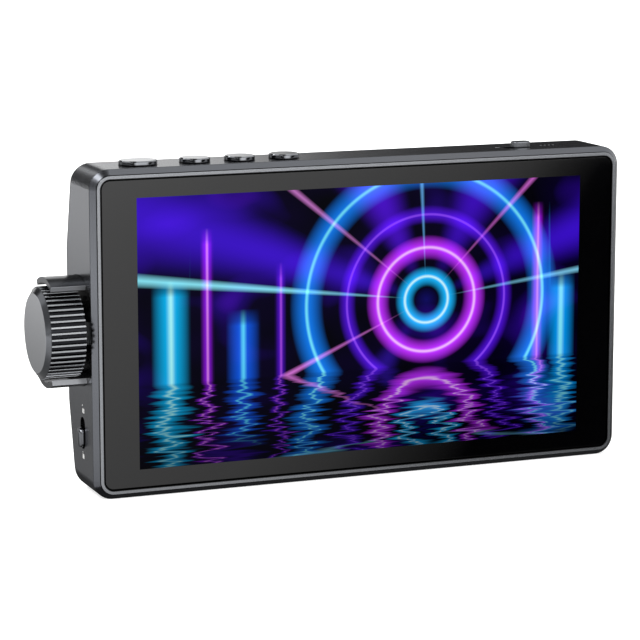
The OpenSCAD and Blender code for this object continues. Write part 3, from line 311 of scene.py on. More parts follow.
# Gold on brass, because contacts mustn't tarnish
gold = finish("gold_plated_brass", "e2bd6a", 0.22, bump=0.001, Metallic=1.0)
# Zinc on steel: cold and a little dull; black where the screws show
zinc = finish("zinc_plated_steel", "b4b8bd", 0.3, bump=0.001, Metallic=1.0)
black_zinc = finish("black_zinc_steel", "3a3a3e", 0.32, bump=0.001, Metallic=1.0)
# Aluminium from the press, brass from the lathe
stamped = finish("stamped_aluminium", "a9adb2", 0.38, grain=0.4, bump=0.002, Metallic=1.0)
brass = finish("turned_brass", "b89a5c", 0.28, bump=0.001, Metallic=1.0)
dress(nickel, "video_in_socket", "video_out_socket", "data_socket", "encoder_body",
      "knob_shaft")
dress(gold, "battery_contacts", "power_pin")
dress(zinc, "frame_screws", "board_screws", "plate_screws", "encoder_nut", "latch_spring")
dress(black_zinc, "rear_screws")
dress(stamped, "inner_frame", "heat_sink")
dress(brass, "stand_insert")

# %% [markdown]
# ## Pieces with cut faces
# Buttons, knob and guard are aluminium anodised black. Their outermost faces were then cut bright
# with a diamond tool, so one piece shows two finishes. Faces could be given a second material, but
# a cut doesn't keep to the mesh's faces. So a mask says where it is: 1 on the cut face, 0 on the
# black skin. The same way of laying a colour over a finish also lays painted shade and painted
# highlights on these pieces and on the switch caps.


# %% Two finishes on one piece
def cut_colour_or_painted_light(material, mask, colour):
    """Lays a colour over a finish where the mask is 1: a bright cut, painted shade or a painted
    highlight.
    """
    tree = material.node_tree
    target = tree.nodes["Principled BSDF"].inputs["Base Color"]
    both = add(tree, "ShaderNodeMix", {0: mask, 6: target.links[0].from_socket,
                                       7: linear(colour)}, data_type="RGBA")
    tree.links.new(both.outputs[2], target)


def place_in(tree):
    """X, Y and Z of each point of the piece."""
    place = add(tree, "ShaderNodeTexCoord").outputs["Object"]
    return add(tree, "ShaderNodeSeparateXYZ", {"Vector": place}).outputs


# %% [markdown]
# The buttons' tops are cut bright, and their paler colour is partly a painted highlight of the
# room they catch from above. Their sides were polished before they were anodised, so they mirror
# the dark case and the room. Each foot stands in the shadow of its hole, and that shadow is
# painted: over its lowest half millimetre a button darkens to black.

# %% Button finish
CUT_ENDS, CUT_FULL = 0.14, 0.09  # how far down the top's rim the cut reaches, mm
FOOT_FULL, FOOT_ENDS = 0.22, 0.5  # heights over the case between which the black foot fades, mm
button_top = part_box("power_button")[1].z
button_metal = finish("anodised_button_aluminium", "7c7e82", 0.08, grain=0.15, bump=0.0002,
                      uneven=0.02, edge=0.06, Metallic=1.0)
tree = button_metal.node_tree
# cut colour on the tops, partly a painted highlight
on_top = graded(tree, place_in(tree)["Z"], [(button_top - CUT_ENDS * MM, 0.0),
                                            (button_top - CUT_FULL * MM, 1.0)])
cut_colour_or_painted_light(button_metal, on_top, "a6a8ac")
# painted shadow at the foot, where the button enters its hole
painted_foot_shadow = graded(tree, place_in(tree)["Z"], [(top_z + FOOT_FULL * MM, 1.0),
                                             (top_z + FOOT_ENDS * MM, 0.0)])
cut_colour_or_painted_light(button_metal, painted_foot_shadow, "09090a")
dress(button_metal, "power_button", *[f"function_button_{i}" for i in (1, 2, 3)])

# %% [markdown]
# The two slide switches have caps of ABS with a smoked mirror coat, evaporated in a vacuum. It
# works as a dark metal and takes bright and dark from the room. Near the case the cap stands in
# the shadow of its slot, so it darkens there. How far a point stands out is its height over the
# top face or its way out of the left face, whichever is more.

# %% Cap finish
SHADE_FULL, SHADE_ENDS = 0.1, 0.35  # how far out the slot's shadow fades, mm
cap_coat = finish("smoked_metallised_abs", "6e7074", 0.13, grain=0.3, bump=0.0004, uneven=0.02,
                  edge=0.05, Metallic=1.0)
tree = cap_coat.node_tree
over_top = add(tree, "ShaderNodeMath", {0: place_in(tree)["Z"], 1: top_z}, operation="SUBTRACT")
out_left = add(tree, "ShaderNodeMath", {0: left_x, 1: place_in(tree)["X"]}, operation="SUBTRACT")
stands_out = add(tree, "ShaderNodeMath", {0: over_top.outputs[0], 1: out_left.outputs[0]},
                 operation="MAXIMUM").outputs[0]
in_shade = graded(tree, stands_out, [(SHADE_FULL * MM, 1.0), (SHADE_ENDS * MM, 0.0)])
# painted shade: the cap darkens to black near its slot
cut_colour_or_painted_light(cap_coat, in_shade, "0e0e10")
dress(cap_coat, "top_switch_cap", "side_switch_cap")

# %% [markdown]
# ## Knob
# On the knob the flat face and the crests of the ribs are cut bright, and the crests' paler colour
# is partly a painted highlight. Behind the bevel the ribs are darkened by painted shade, deepest
# in the grooves between them, which stay black. A mask on the distance from the knob's axis finds
# the crests and the grooves, one on X finds the face and where the ribs begin.

# %% Distances on the knob
knob_low, knob_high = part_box("knob")
axis_y, axis_z = (knob_low.y + knob_high.y) / 2, (knob_low.z + knob_high.z) / 2
knob_r = (knob_high.z - knob_low.z) / 2


def from_knob_axis(tree):
    """Distance of each point from the knob's axis, and its Y and Z counted from the axis."""
    place = add(tree, "ShaderNodeTexCoord").outputs["Object"]
    off = add(tree, "ShaderNodeVectorMath", {0: place, 1: (0, axis_y, axis_z)},
              operation="SUBTRACT").outputs[0]
    across = add(tree, "ShaderNodeVectorMath", {0: off, 1: (0, 1, 1)},
                 operation="MULTIPLY").outputs[0]
    length = add(tree, "ShaderNodeVectorMath", {0: across}, operation="LENGTH")
    split = add(tree, "ShaderNodeSeparateXYZ", {"Vector": across})
    return length.outputs["Value"], split.outputs["Y"], split.outputs["Z"]


print("knob", round(2 * knob_r / MM, 1), "mm across")

# %% Knob finish
GROOVE_DEPTH, CREST_FROM, CREST_FULL = 0.5, 0.12, 0.06  # below the ribs' tops, mm
RIBS_FROM, RIBS_FULL = 1.0, 1.2  # behind the face, where the bevel ends, mm
knob_metal = finish("black_anodised_knob_aluminium", "66686c", 0.2, grain=0.15, bump=0.0004,
                    uneven=0.02, edge=0.06, Metallic=1.0)
tree = knob_metal.node_tree
from_axis, _, _ = from_knob_axis(tree)
# painted shade: the ribbed part darker towards the bottom of the grooves
groove = graded(tree, from_axis, [(knob_r - GROOVE_DEPTH * MM, "5c5c5f"),
                                  (knob_r - 0.1 * MM, "a0a0a2")])
past_bevel = graded(tree, place_in(tree)["X"], [(knob_low.x + RIBS_FROM * MM, 0.0),
                                                (knob_low.x + RIBS_FULL * MM, 1.0)])
target = tree.nodes["Principled BSDF"].inputs["Base Color"]
groove_shaded = add(tree, "ShaderNodeMix", {0: past_bevel, 6: target.links[0].from_socket, 7: groove},
              data_type="RGBA", blend_type="MULTIPLY")
tree.links.new(groove_shaded.outputs[2], target)
# cut colour on the crests, partly a painted highlight
crest = graded(tree, from_axis, [(knob_r - CREST_FROM * MM, 0.0),
                                 (knob_r - CREST_FULL * MM, 1.0)])
cut_colour_or_painted_light(knob_metal, crest, "a0a2a5")
on_face = graded(tree, place_in(tree)["X"], [(knob_low.x + 0.02 * MM, 1.0),
                                             (knob_low.x + 0.06 * MM, 0.0)])
cut_colour_or_painted_light(knob_metal, on_face, "a4a6aa")
dress(knob_metal, "knob")

# %% [markdown]
# The guard's two walls end in cut faces at the front and the back. Seen from the axis they stand
# at a fixed angle, so the mask asks whether |Y| is large beside |Z|. A fine cut scatters light as
# well as mirroring it: there the metal share drops to a third, and the face stays pale from every
# side, its pale colour partly a painted highlight. The inside of the walls and the plate behind
# the knob are painted black as shade, where the knob and the walls keep the light off.

# %% Guard finish
GUARD_HALF_ANGLE = 27.9  # from the upright to where the walls end, degrees
GUARD_WALL = 1.5  # mm
guard_low, guard_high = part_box("knob_guard")
guard_r = (guard_high.z - guard_low.z) / 2
guard_metal = finish("black_anodised_guard_aluminium", "44464a", 0.2, grain=0.15, bump=0.0004,
                     uneven=0.02, edge=0.08, Metallic=1.0)
tree = guard_metal.node_tree
from_axis, off_y, off_z = from_knob_axis(tree)
size_y = add(tree, "ShaderNodeMath", {0: off_y}, operation="ABSOLUTE").outputs[0]
size_z = add(tree, "ShaderNodeMath", {0: off_z}, operation="ABSOLUTE").outputs[0]
slant = add(tree, "ShaderNodeMath", {0: size_y, 1: size_z}, operation="DIVIDE").outputs[0]
edge_slant = math.tan(math.radians(GUARD_HALF_ANGLE))
cut_from, cut_full = edge_slant - 0.012, edge_slant - 0.006
# cut faces, their pale colour partly a painted highlight
cut_colour_or_painted_light(guard_metal, graded(tree, slant, [(cut_from, 0.0), (cut_full, 1.0)]), "94969a")
dull = graded(tree, slant, [(cut_from, 1.0), (cut_full, 0.35)])
tree.links.new(dull, tree.nodes["Principled BSDF"].inputs["Metallic"])
# painted shade on the inside of the walls
inside = graded(tree, from_axis, [(guard_r - GUARD_WALL * MM, 1.0),
                                  (guard_r - (GUARD_WALL - 0.1) * MM, 0.0)])
cut_colour_or_painted_light(guard_metal, inside, "060607")
# painted shade on the plate behind the knob
painted_plate_shade = graded(tree, place_in(tree)["X"], [(left_x - 0.06 * MM, 0.0),
                                              (left_x - 0.02 * MM, 1.0)])
cut_colour_or_painted_light(guard_metal, painted_plate_shade, "060607")
dress(guard_metal, "knob_guard")

# %% [markdown]
# ## Boards, ribbons and soft pieces
# Circuit boards carry a green solder mask over a core of glass cloth, whose half-millimetre
# weave just shows in the gloss; noise of that size stands for it. Ribbons are amber polyimide
# film, smooth as it was cast. The tape is black foam and drinks light; the thermal pad is soft
# grey-blue silicone. The leads wear smooth red vinyl. The panel is glass between dark polarising
# films, so it looks black until it is lit.

# %% Boards and soft pieces
solder_mask = finish("green_solder_mask", "1d5a36", 0.35, grain=0.5, bump=0.003, IOR=1.55)
polyimide = finish("amber_polyimide", "c07a2a", 0.3, grain=0.4, bump=0.001, IOR=1.6)
foam_tape = finish("black_foam_tape", "161616", 0.8, grain=0.3, bump=0.01, IOR=1.4)
silicone = finish("silicone_pad", "7a8fa6", 0.7, grain=0.4, bump=0.01, IOR=1.4)
wire_skin = finish("red_wire_insulation", "a3282a", 0.4, grain=0.3, bump=0.001, IOR=1.5)
panel_glass = finish("liquid_crystal_panel", "14161f", 0.15, grain=0.3, IOR=1.5)
dress(solder_mask, "main_board", "key_board", "side_board")
dress(polyimide, "panel_ribbon", "key_ribbon", "side_ribbon")
dress(foam_tape, "glass_tape")
dress(silicone, "thermal_pad")
dress(wire_skin, "battery_leads")
dress(panel_glass, "lcd_panel")

# %% [markdown]
# ## Cover glass
# The glass is clear, and its back is printed black around the picture. Seen from the front
# that is a deep black under a hard, mirror-smooth surface. A clear plate over a black print
# would show the same, but less surely, so it is drawn as one black glass.

# %% Cover glass
black_glass = finish("printed_cover_glass", "030304", 0.04, grain=0.5, uneven=0.01, IOR=1.52)
dress(black_glass, "cover_glass")

# %% [markdown]
# ## Room
# The monitor stands on a plain pale floor in a white room. The room is bright to the eye and
# to mirrors, and dimmer where it lights the monitor, so that nothing pale burns out.


# %% White room
def ray_is(tree, *kinds):
    """1 for rays of these kinds, else 0."""
    path = add(tree, "ShaderNodeLightPath")
    total = path.outputs[kinds[0]]
    for kind in kinds[1:]:
        total = add(tree, "ShaderNodeMath", {0: total, 1: path.outputs[kind]},
                    operation="MAXIMUM").outputs[0]
    return total


white = linear("ffffff")
world = bpy.data.worlds.new("white_room")
bpy.context.scene.world = world
world.use_nodes = True
tree = world.node_tree
tree.nodes.clear()
soft = add(tree, "ShaderNodeBackground", {"Color": white, "Strength": 0.45})
bright = add(tree, "ShaderNodeBackground", {"Color": white, "Strength": 1.0})
seen = ray_is(tree, "Is Camera Ray", "Is Glossy Ray", "Is Transmission Ray")
mixed = add(tree, "ShaderNodeMixShader", {0: seen, 1: soft.outputs[0], 2: bright.outputs[0]})
add(tree, "ShaderNodeOutputWorld", {"Surface": mixed.outputs[0]})
print("room", len(tree.nodes), "nodes")

# %% Pale floor
floor_material, tree, _ = new_material("pale_floor")
tree.nodes.clear()
matt = add(tree, "ShaderNodeBsdfDiffuse", {"Color": linear("e8e8e8")})
nothing = add(tree, "ShaderNodeEmission", {"Strength": 0.0})
glow = add(tree, "ShaderNodeEmission", {"Color": white, "Strength": 0.7})
seen = ray_is(tree, "Is Camera Ray", "Is Glossy Ray", "Is Transmission Ray")
lift = add(tree, "ShaderNodeMixShader", {0: seen, 1: nothing.outputs[0], 2: glow.outputs[0]})
both = add(tree, "ShaderNodeAddShader", {0: matt.outputs[0], 1: lift.outputs[0]})
add(tree, "ShaderNodeOutputMaterial", {"Surface": both.outputs[0]})


def flat_piece(name, corners, material):
    """A flat piece from its corners."""
    mesh = bpy.data.meshes.new(name)
    mesh.from_pydata(corners, [], [list(range(len(corners)))])
    mesh.materials.append(material)
    made = bpy.data.objects.new(name, mesh)
    bpy.context.scene.collection.objects.link(made)
    return made


FLOOR_HALF = 6  # m
floor = flat_piece("floor", [(-FLOOR_HALF, -FLOOR_HALF, 0), (FLOOR_HALF, -FLOOR_HALF, 0),
                             (FLOOR_HALF, FLOOR_HALF, 0), (-FLOOR_HALF, FLOOR_HALF, 0)],
                   floor_material)
print("floor", 2 * FLOOR_HALF, "m square")

# %% [markdown]
# Dark metal and black glass show nothing else than what they mirror. So cards that only
# reflections see lie and stand around the monitor, pale on the left and dark on the right, as a
# studio photographer places them. A card's level changes along it, which gives a face its
# gradient. Those on the floor lie a few hundredths of a millimetre over it, and one that laps
# over another lies a little higher.


# %% How a card is made
def card(name, corners, direction, stops):
    """A card that only reflections see. Its light level follows stops (metres, level) along
    a direction through the origin."""
    material, tree, _ = new_material(name)
    tree.nodes.clear()
    place = add(tree, "ShaderNodeTexCoord").outputs["Object"]
    along = add(tree, "ShaderNodeVectorMath", {0: place, 1: Vector(direction).normalized()},
                operation="DOT_PRODUCT").outputs["Value"]
    top = max(level for _, level in stops)
    level = graded(tree, along, [(where, level / top) for where, level in stops])
    glow = add(tree, "ShaderNodeEmission", {"Color": level, "Strength": top})
    add(tree, "ShaderNodeOutputMaterial", {"Surface": glow.outputs[0]})
    made = flat_piece(name, corners, material)
    made.visible_camera = made.visible_diffuse = made.visible_shadow = False
    made.visible_transmission = False
    return made


CARD_Z = 0.06 * MM


def floor_card(name, outline, direction, stops, above=1.0):
    """A card on the floor, from its outline in X and Y."""
    return card(name, [(x, y, CARD_Z * above) for x, y in outline], direction, stops)


# %% Cards on the floor, under and right of the monitor
SPLIT_X = left_x - 4 * MM  # parts the dark cards from the pale ones on the left
floor_card("dark_floor_card", [(-2, -2), (2, -2), (2, -0.02), (SPLIT_X, -0.02), (SPLIT_X, 2),
                               (-2, 2)], (1, 0, 0), [(-2, 0.06), (2, 0.06)], above=0.5)
floor_card("under_card", [(SPLIT_X, -0.0125), (0.1, -0.0125), (0.1, 0.06), (SPLIT_X, 0.06)],
           (1, 0, 0), [(-0.08, 0.06), (0.1, 0.06)])
floor_card("back_floor_card", [(SPLIT_X, 0.06), (2, 0.06), (2, 2), (SPLIT_X, 2)],
           (0, 1, 0), [(0.06, 0.15), (0.1, 0.25), (0.16, 0.5), (0.4, 0.5), (2, 0.3)])
floor_card("right_floor_card", [(0.1, -0.02), (2, -0.02), (2, 0.06), (0.1, 0.06)],
           (1, 0, 0), [(0.1, 0.1), (0.2, 0.25), (2, 0.3)])
print("dark side laid")

# %% Cards on the floor, in front
floor_card("front_floor_card", [(SPLIT_X, -0.02), (SPLIT_X, -0.64), (1.0, -0.64), (1.0, -0.02)],
           (0.861, 0.509, 0), [(-0.22, 1.6), (-0.10, 1.2), (-0.04, 0.9), (-0.016, 0.6),
                               (0.0, 0.25), (0.018, 0.0)])
floor_card("lip_floor_card", [(SPLIT_X, -0.0125), (SPLIT_X, -0.021), (0.12, -0.021),
                              (0.12, -0.0125)],
           (1, 0, 0), [(-0.07, 0.7), (-0.03, 0.65), (0.0, 0.5), (0.03, 0.28), (0.08, 0.13)],
           above=1.1)
floor_card("far_floor_card", [(-0.32, -0.64), (-0.32, -1.1), (0.7, -1.1), (0.7, -0.64)],
           (1, 0, 0), [(-0.3, 0.1), (-0.15, 2.2), (0.6, 2.2), (0.7, 0.1)])
print("front laid")

# %% Cards on the floor, left
floor_card("left_floor_card", [(SPLIT_X, 1.5), (-0.34, 1.5), (-0.34, 0.25), (-0.5, 0.0),
                               (SPLIT_X, 0.0)],
           (-1, 0, 0), [(0.075, 0.35), (0.085, 0.3), (0.1, 0.28), (0.12, 0.34), (0.15, 0.56),
                        (0.24, 1.35)])
floor_card("near_left_card", [(SPLIT_X, -0.04), (-0.2, -0.09), (-0.2, -0.2), (SPLIT_X, -0.2)],
           (-1, 0, 0), [(0.07, 1.0), (0.2, 1.0)], above=0.8)
floor_card("left_front_floor_card", [(SPLIT_X, 0.0), (-0.68, 0.0), (-0.68, -0.28),
                                     (SPLIT_X, -0.05)],
           (-1, 0, 0), [(0.078, 0.7), (0.12, 1.0), (0.3, 1.4), (0.5, 1.9), (0.68, 1.9)])
print("left side laid")

# %% Cards that stand or hang
card("back_card", [(0.12, 0.9, 0.0), (0.95, 0.9, 0.0), (0.95, 0.9, 0.5), (0.12, 0.9, 0.5)],
     (1, 0, 0), [(0.12, 0.4), (0.16, 1.1), (0.235, 1.0), (0.26, 0.98), (0.28, 0.88), (0.30, 0.66),
                 (0.33, 0.34), (0.36, 0.13), (0.42, 0.05), (0.47, 0.02), (0.72, 0.01),
                 (0.95, 0.6)])
card("high_back_card", [(0.14, 0.9, 0.5), (0.8, 0.9, 0.5), (0.8, 0.9, 1.4), (0.14, 0.9, 1.4)],
     (0, 0, 1), [(0.5, 0.3), (0.6, 0.12), (0.9, 0.2), (1.1, 0.8), (1.4, 1.0)])
card("corner_card", [(-0.6, 0.9, 0.05), (0.14, 0.9, 0.05), (0.14, 0.9, 1.4), (-0.6, 0.9, 1.4)],
     (1, 0, 0), [(-0.3, 0.05), (-0.21, 0.06), (-0.16, 1.1), (-0.09, 1.1), (-0.04, 0.05),
                 (0.1, 0.05), (0.14, 0.1)])
card("overhead_card", [(-1.3, -0.7, 1.0), (0.9, -0.7, 1.0), (0.9, 0.1, 1.0), (-1.3, 0.1, 1.0)],
     (1, 0, 0), [(-1.2, 0.6), (-1.05, 1.5), (-0.95, 5.0), (-0.55, 5.0), (-0.42, 1.0),
                 (-0.34, 0.08), (0.04, 0.08), (0.11, 1.1), (0.42, 1.15), (0.5, 0.95)])
card("left_wall_card", [(-1.4, -1.2, 0.12), (-1.4, 0.8, 0.12), (-1.4, 0.8, 0.9),
                        (-1.4, -1.2, 0.9)], (0, 0, 1), [(0.12, 0.6), (0.3, 0.35), (0.9, 0.3)])
card("front_wall_card", [(-0.2, -1.6, 0.22), (1.4, -1.6, 0.22), (1.4, -1.6, 0.62),
                         (-0.2, -1.6, 0.62)], (0, 0, 1),
     [(0.22, 1.0), (0.32, 3.2), (0.45, 3.2), (0.62, 1.0)])
print("cards placed")

# %% [markdown]
# Four soft square lamps give plain studio light: a key from the front left, a weaker fill from
# the right, and two from behind for the rim and the back. The last one would show as a pale
# patch in the top face, so mirrors don't see it.


# %% Lamps
def lamp(name, place, target, size, watts):
    """A soft square lamp that the camera doesn't see."""
    data = bpy.data.lights.new(name, "AREA")
    data.shape, data.size, data.energy = "SQUARE", size, watts
    made = bpy.data.objects.new(name, data)
    bpy.context.scene.collection.objects.link(made)
    made.location = place
    made.rotation_euler = (Vector(target) - Vector(place)).to_track_quat("-Z", "Y").to_euler()
    made.visible_camera = False
    print(name, watts, "W")
    return made


lamp("key", (-0.9, -0.9, 1.2), (0, 0, 0.04), 0.7, 14)
lamp("fill", (0.9, -1.1, 0.9), (0, 0, 0.04), 0.9, 5)
lamp("rim", (-0.3, 1.1, 1.0), (0, 0, 0.04), 0.8, 8)
lamp("back", (0.7, 1.0, 0.9), (0, 0, 0.04), 0.8, 7).visible_glossy = False

# %% [markdown]
# ## The lit picture
# The panel's picture shows through the glass. It is drawn on a film two hundredths of a
# millimetre thick, just before the glass's face, because the black glass can't be seen
# through. The film hardly mirrors, so the picture's blacks stay black. The picture is a made-up
# one: rings of light round a vanishing point, beams, upright bars of light and a wet floor that
# mirrors them. It is counted in millimetres from the picture's middle.

# %% Lit picture: where each point lies
PICTURE_HALF_W, PICTURE_HALF_H = 60.48, 34.02
HORIZON = -13.0  # Z of the wet floor's far edge
CENTRE_X, CENTRE_Z = 17.0, 4.0  # the vanishing point
picture, tree, shader = new_material("lit_picture")
place = add(tree, "ShaderNodeTexCoord").outputs["Object"]
local = add(tree, "ShaderNodeVectorMath", {0: place, 1: (0, 0, mid_z)}, operation="SUBTRACT")
in_mm = add(tree, "ShaderNodeVectorMath", {0: local.outputs[0], "Scale": 1 / MM},
            operation="SCALE")
split = add(tree, "ShaderNodeSeparateXYZ", {"Vector": in_mm.outputs[0]})
flat_x, flat_z = split.outputs["X"], split.outputs["Z"]
above = add(tree, "ShaderNodeMath", {0: flat_z, 1: HORIZON}, operation="SUBTRACT").outputs[0]
mirrored = add(tree, "ShaderNodeMath", {0: above}, operation="ABSOLUTE").outputs[0]
height = add(tree, "ShaderNodeMath", {0: mirrored, 1: HORIZON}, operation="ADD").outputs[0]
print("picture", 2 * PICTURE_HALF_W, "by", 2 * PICTURE_HALF_H, "mm")

# %% [markdown]
# Below the horizon the same picture is seen again upside down, shaken sideways by ripples that
# are long and flat, as on a wet floor. Noise stretched along X makes them.

# %% Lit picture: ripples
RIPPLE_REACH = 22.0  # widest push sideways, mm
ripple_place = add(tree, "ShaderNodeVectorMath", {0: in_mm.outputs[0], 1: (0.05, 1, 1.1)},
                   operation="MULTIPLY").outputs[0]
ripple = add(tree, "ShaderNodeTexNoise", {"Vector": ripple_place, "Scale": 1.0, "Detail": 2.0})
shake = graded(tree, above, [(-14, 1.0), (-1, 0.25), (0, 0.0)])
centred = add(tree, "ShaderNodeMath", {0: ripple.outputs["Fac"], 1: 0.5}, operation="SUBTRACT")
push = add(tree, "ShaderNodeMath", {0: centred.outputs[0], 1: shake}, operation="MULTIPLY")
across = add(tree, "ShaderNodeMath", {0: push.outputs[0], 1: RIPPLE_REACH, 2: flat_x},
             operation="MULTIPLY_ADD").outputs[0]
side = add(tree, "ShaderNodeMath", {0: across, 1: CENTRE_X}, operation="SUBTRACT").outputs[0]
rise = add(tree, "ShaderNodeMath", {0: height, 1: CENTRE_Z}, operation="SUBTRACT").outputs[0]
angle = add(tree, "ShaderNodeMath", {0: rise, 1: side}, operation="ARCTAN2").outputs[0]
flat_place = add(tree, "ShaderNodeCombineXYZ", {"X": side, "Y": rise}).outputs[0]
distance = add(tree, "ShaderNodeVectorMath", {0: flat_place},
               operation="LENGTH").outputs["Value"]
print("ripples below z", HORIZON)

# %% [markdown]
# Rings are a grade along the distance from the vanishing point, beams one along the angle round
# it and bars one along X. A tube of light has a pale core and a coloured glow that fades to
# black, so five stops draw it.


# %% Lit picture: strokes of light
def lines(marks, dark="000000"):
    """Stops for thin bright lines. Each mark is (place, half width, glow width, core, glow)."""
    stops = []
    for where, half, halo, core, glow in marks:
        stops += [(where - halo, dark), (where - half, glow), (where, core),
                  (where + half, glow), (where + halo, dark)]
    return stops


def strokes(marks, dark="000000"):
    """Stops for plain strokes. Each mark is (place, half width, colour)."""
    stops = []
    for where, half, colour in marks:
        stops += [(where - half, dark), (where, colour), (where + half, dark)]
    return stops


# %% Lit picture: rings and beams
rings = graded(tree, distance, [(0, "0a0a5a")] + lines([
    (6.0, 0.45, 2.6, "d8ffff", "18b8ff"), (13.5, 0.5, 3.2, "ffd0ff", "c030ff"),
    (22.0, 0.35, 2.4, "9a50ff", "4a10c8"), (33.0, 0.6, 4.5, "7af0ff", "1078e8")]) +
    [(70, "000000")])
wide_beams = graded(tree, angle, [(-math.pi, "000000")] + strokes([
    (-2.2, 0.22, "3014a0"), (0.36, 0.2, "3a10c8"), (1.08, 0.3, "4a10e0"), (2.02, 0.28, "5a14f0"),
    (2.82, 0.2, "3c12c8")]) + [(math.pi, "000000")], smooth=True)
threads = graded(tree, angle, [(-math.pi, "000000")] + strokes([
    (-2.72, 0.012, "ff8cff"), (0.12, 0.01, "8adfff"), (0.78, 0.012, "ff80ff"),
    (1.62, 0.012, "70c0ff"), (2.46, 0.012, "ff9aff"), (3.02, 0.01, "90f0ff")]) +
    [(math.pi, "000000")])
beam_reach = graded(tree, distance, [(4, 0.0), (20, 0.55), (45, 1.0), (90, 1.0)], smooth=True)
print("rings and beams placed")

# %% Lit picture: bars
BAR_FULL = 42.0  # height of a full bar over the horizon, mm; bar_top holds each bar's share
bars = graded(tree, across, [(-61, "000000")] + lines([
    (-52.0, 1.1, 5.0, "b0ffff", "00b4f0"), (-42.5, 0.35, 1.6, "ff9cff", "9018e0"),
    (-33.0, 0.9, 4.5, "60e0ff", "0a58e0"), (-23.0, 0.3, 1.4, "d060ff", "5010c0"),
    (48.5, 0.35, 1.6, "ff8cff", "a018e0"), (55.5, 1.0, 4.0, "90f8ff", "0098f0")]) +
    [(61, "000000")])
bar_top = graded(tree, across, [(-61, 0.55), (-47.1, 0.55), (-47.0, 0.85), (-38.1, 0.85),
                                (-38, 0.35), (-28.1, 0.35), (-28, 0.62), (0, 0.62),
                                (0.1, 0.9), (52, 0.9), (52.1, 0.45), (61, 0.45)])
bar_height = add(tree, "ShaderNodeMath", {0: bar_top, 1: BAR_FULL}, operation="MULTIPLY")
room = add(tree, "ShaderNodeMath", {0: bar_height.outputs[0], 1: mirrored},
           operation="SUBTRACT")
bar_shape = graded(tree, room.outputs[0], [(-3, 0.0), (0, 0.55), (1.2, 1.0), (30, 0.75)])
print("bars placed")

# %% [markdown]
# A violet haze fills the dark between them. Light adds up, as it does in air, and only the wet
# floor takes some away.


# %% Lit picture: everything added up
def stack(tree, under, *layers):
    """Lays pictures on the one under them, each as (picture, way)."""
    for over, way in layers:
        under = add(tree, "ShaderNodeMix", {0: 1.0, 6: under, 7: over}, data_type="RGBA",
                    blend_type=way).outputs[2]
    return under


haze_place = add(tree, "ShaderNodeVectorMath", {0: flat_place, 1: (0.045, 0.06, 1)},
                 operation="MULTIPLY").outputs[0]
haze = add(tree, "ShaderNodeTexNoise", {"Vector": haze_place, "Scale": 1.0, "Detail": 1.0})
haze_colour = graded(tree, haze.outputs["Fac"], [(0.35, "010108"), (0.54, "06011e"),
                                                 (0.66, "1c0464"), (0.8, "400ca8")])
beams = stack(tree, wide_beams, (threads, "ADD"), (beam_reach, "MULTIPLY"))
lit_bars = stack(tree, bars, (bar_shape, "MULTIPLY"))
floor_shade = graded(tree, above, [(-22, 0.18), (-8, 0.5), (-0.3, 0.7), (0.3, 1.0), (40, 0.9)])
light = stack(tree, haze_colour, (rings, "ADD"), (beams, "ADD"), (lit_bars, "ADD"),
              (floor_shade, "MULTIPLY"))
tree.links.new(light, shader.inputs["Emission Color"])
shader.inputs["Emission Strength"].default_value = 1.0
shader.inputs["Base Color"].default_value = linear("000000")
shader.inputs["Roughness"].default_value = 0.05
shader.inputs["IOR"].default_value = 1.1
print("picture", len(tree.nodes), "nodes")

# %% [markdown]
# ## Added pieces
# A mesh becomes a piece of the monitor when it rides on one of its bodies. It also says which
# of the model's finishes it belongs to, where the model has that finish.


# %% From a mesh to a piece
def as_piece(work, name, body, material):
    """Turns a bmesh into a piece that rides on a body."""
    bmesh.ops.recalc_face_normals(work, faces=work.faces)
    mesh = bpy.data.meshes.new(name)
    work.to_mesh(mesh)
    work.free()
    mesh.materials.append(material)
    made = bpy.data.objects.new(name, mesh)
    bpy.context.scene.collection.objects.link(made)
    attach(made, body)
    print(name, len(mesh.polygons), "faces")
    return made


# %% [markdown]
# Flat pieces are cut from an outline and given a thickness. The film, the printed marks and
# the contact strips are all made by the same cutter.


# %% Plates from outlines
def extruded(name, outlines, along, body, material):
    """Plates from closed outlines of 3-D points, each thickened by the vector along."""
    work = bmesh.new()
    for outline in outlines:
        low = [work.verts.new(p) for p in outline]
        high = [work.verts.new(Vector(p) + Vector(along)) for p in outline]
        work.faces.new(low)
        work.faces.new(high)
        for i, corner in enumerate(low):
            after = (i + 1) % len(low)
            work.faces.new((corner, low[after], high[after], high[i]))
    return as_piece(work, name, body, material)


def rectangle(u0, u1, v0, v1):
    """A rectangle's four corners as (u, v)."""
    return [(u0, v0), (u1, v0), (u1, v1), (u0, v1)]


# %% Film of the lit picture
FILM_T, FILM_GAP = 0.02, 0.01  # mm
film_outline = [(u * MM, depth(-FILM_GAP), mid_z + v * MM) for u, v in rectangle(
    -PICTURE_HALF_W, PICTURE_HALF_W, -PICTURE_HALF_H, PICTURE_HALF_H)]
film = extruded("lit_picture", [film_outline], (0, -FILM_T * MM, 0), "root", picture)
print("film", [round(c / MM, 2) for c in film.dimensions], "mm")

# %% [markdown]
# ## Printed marks
# Small prints stand beside the two slide switches: in white a bar with a dot above the side
# switch and another below it, in grey a bar and four dots beside the top switch. Each is a
# printed ink layer, two hundredths of a millimetre thick.

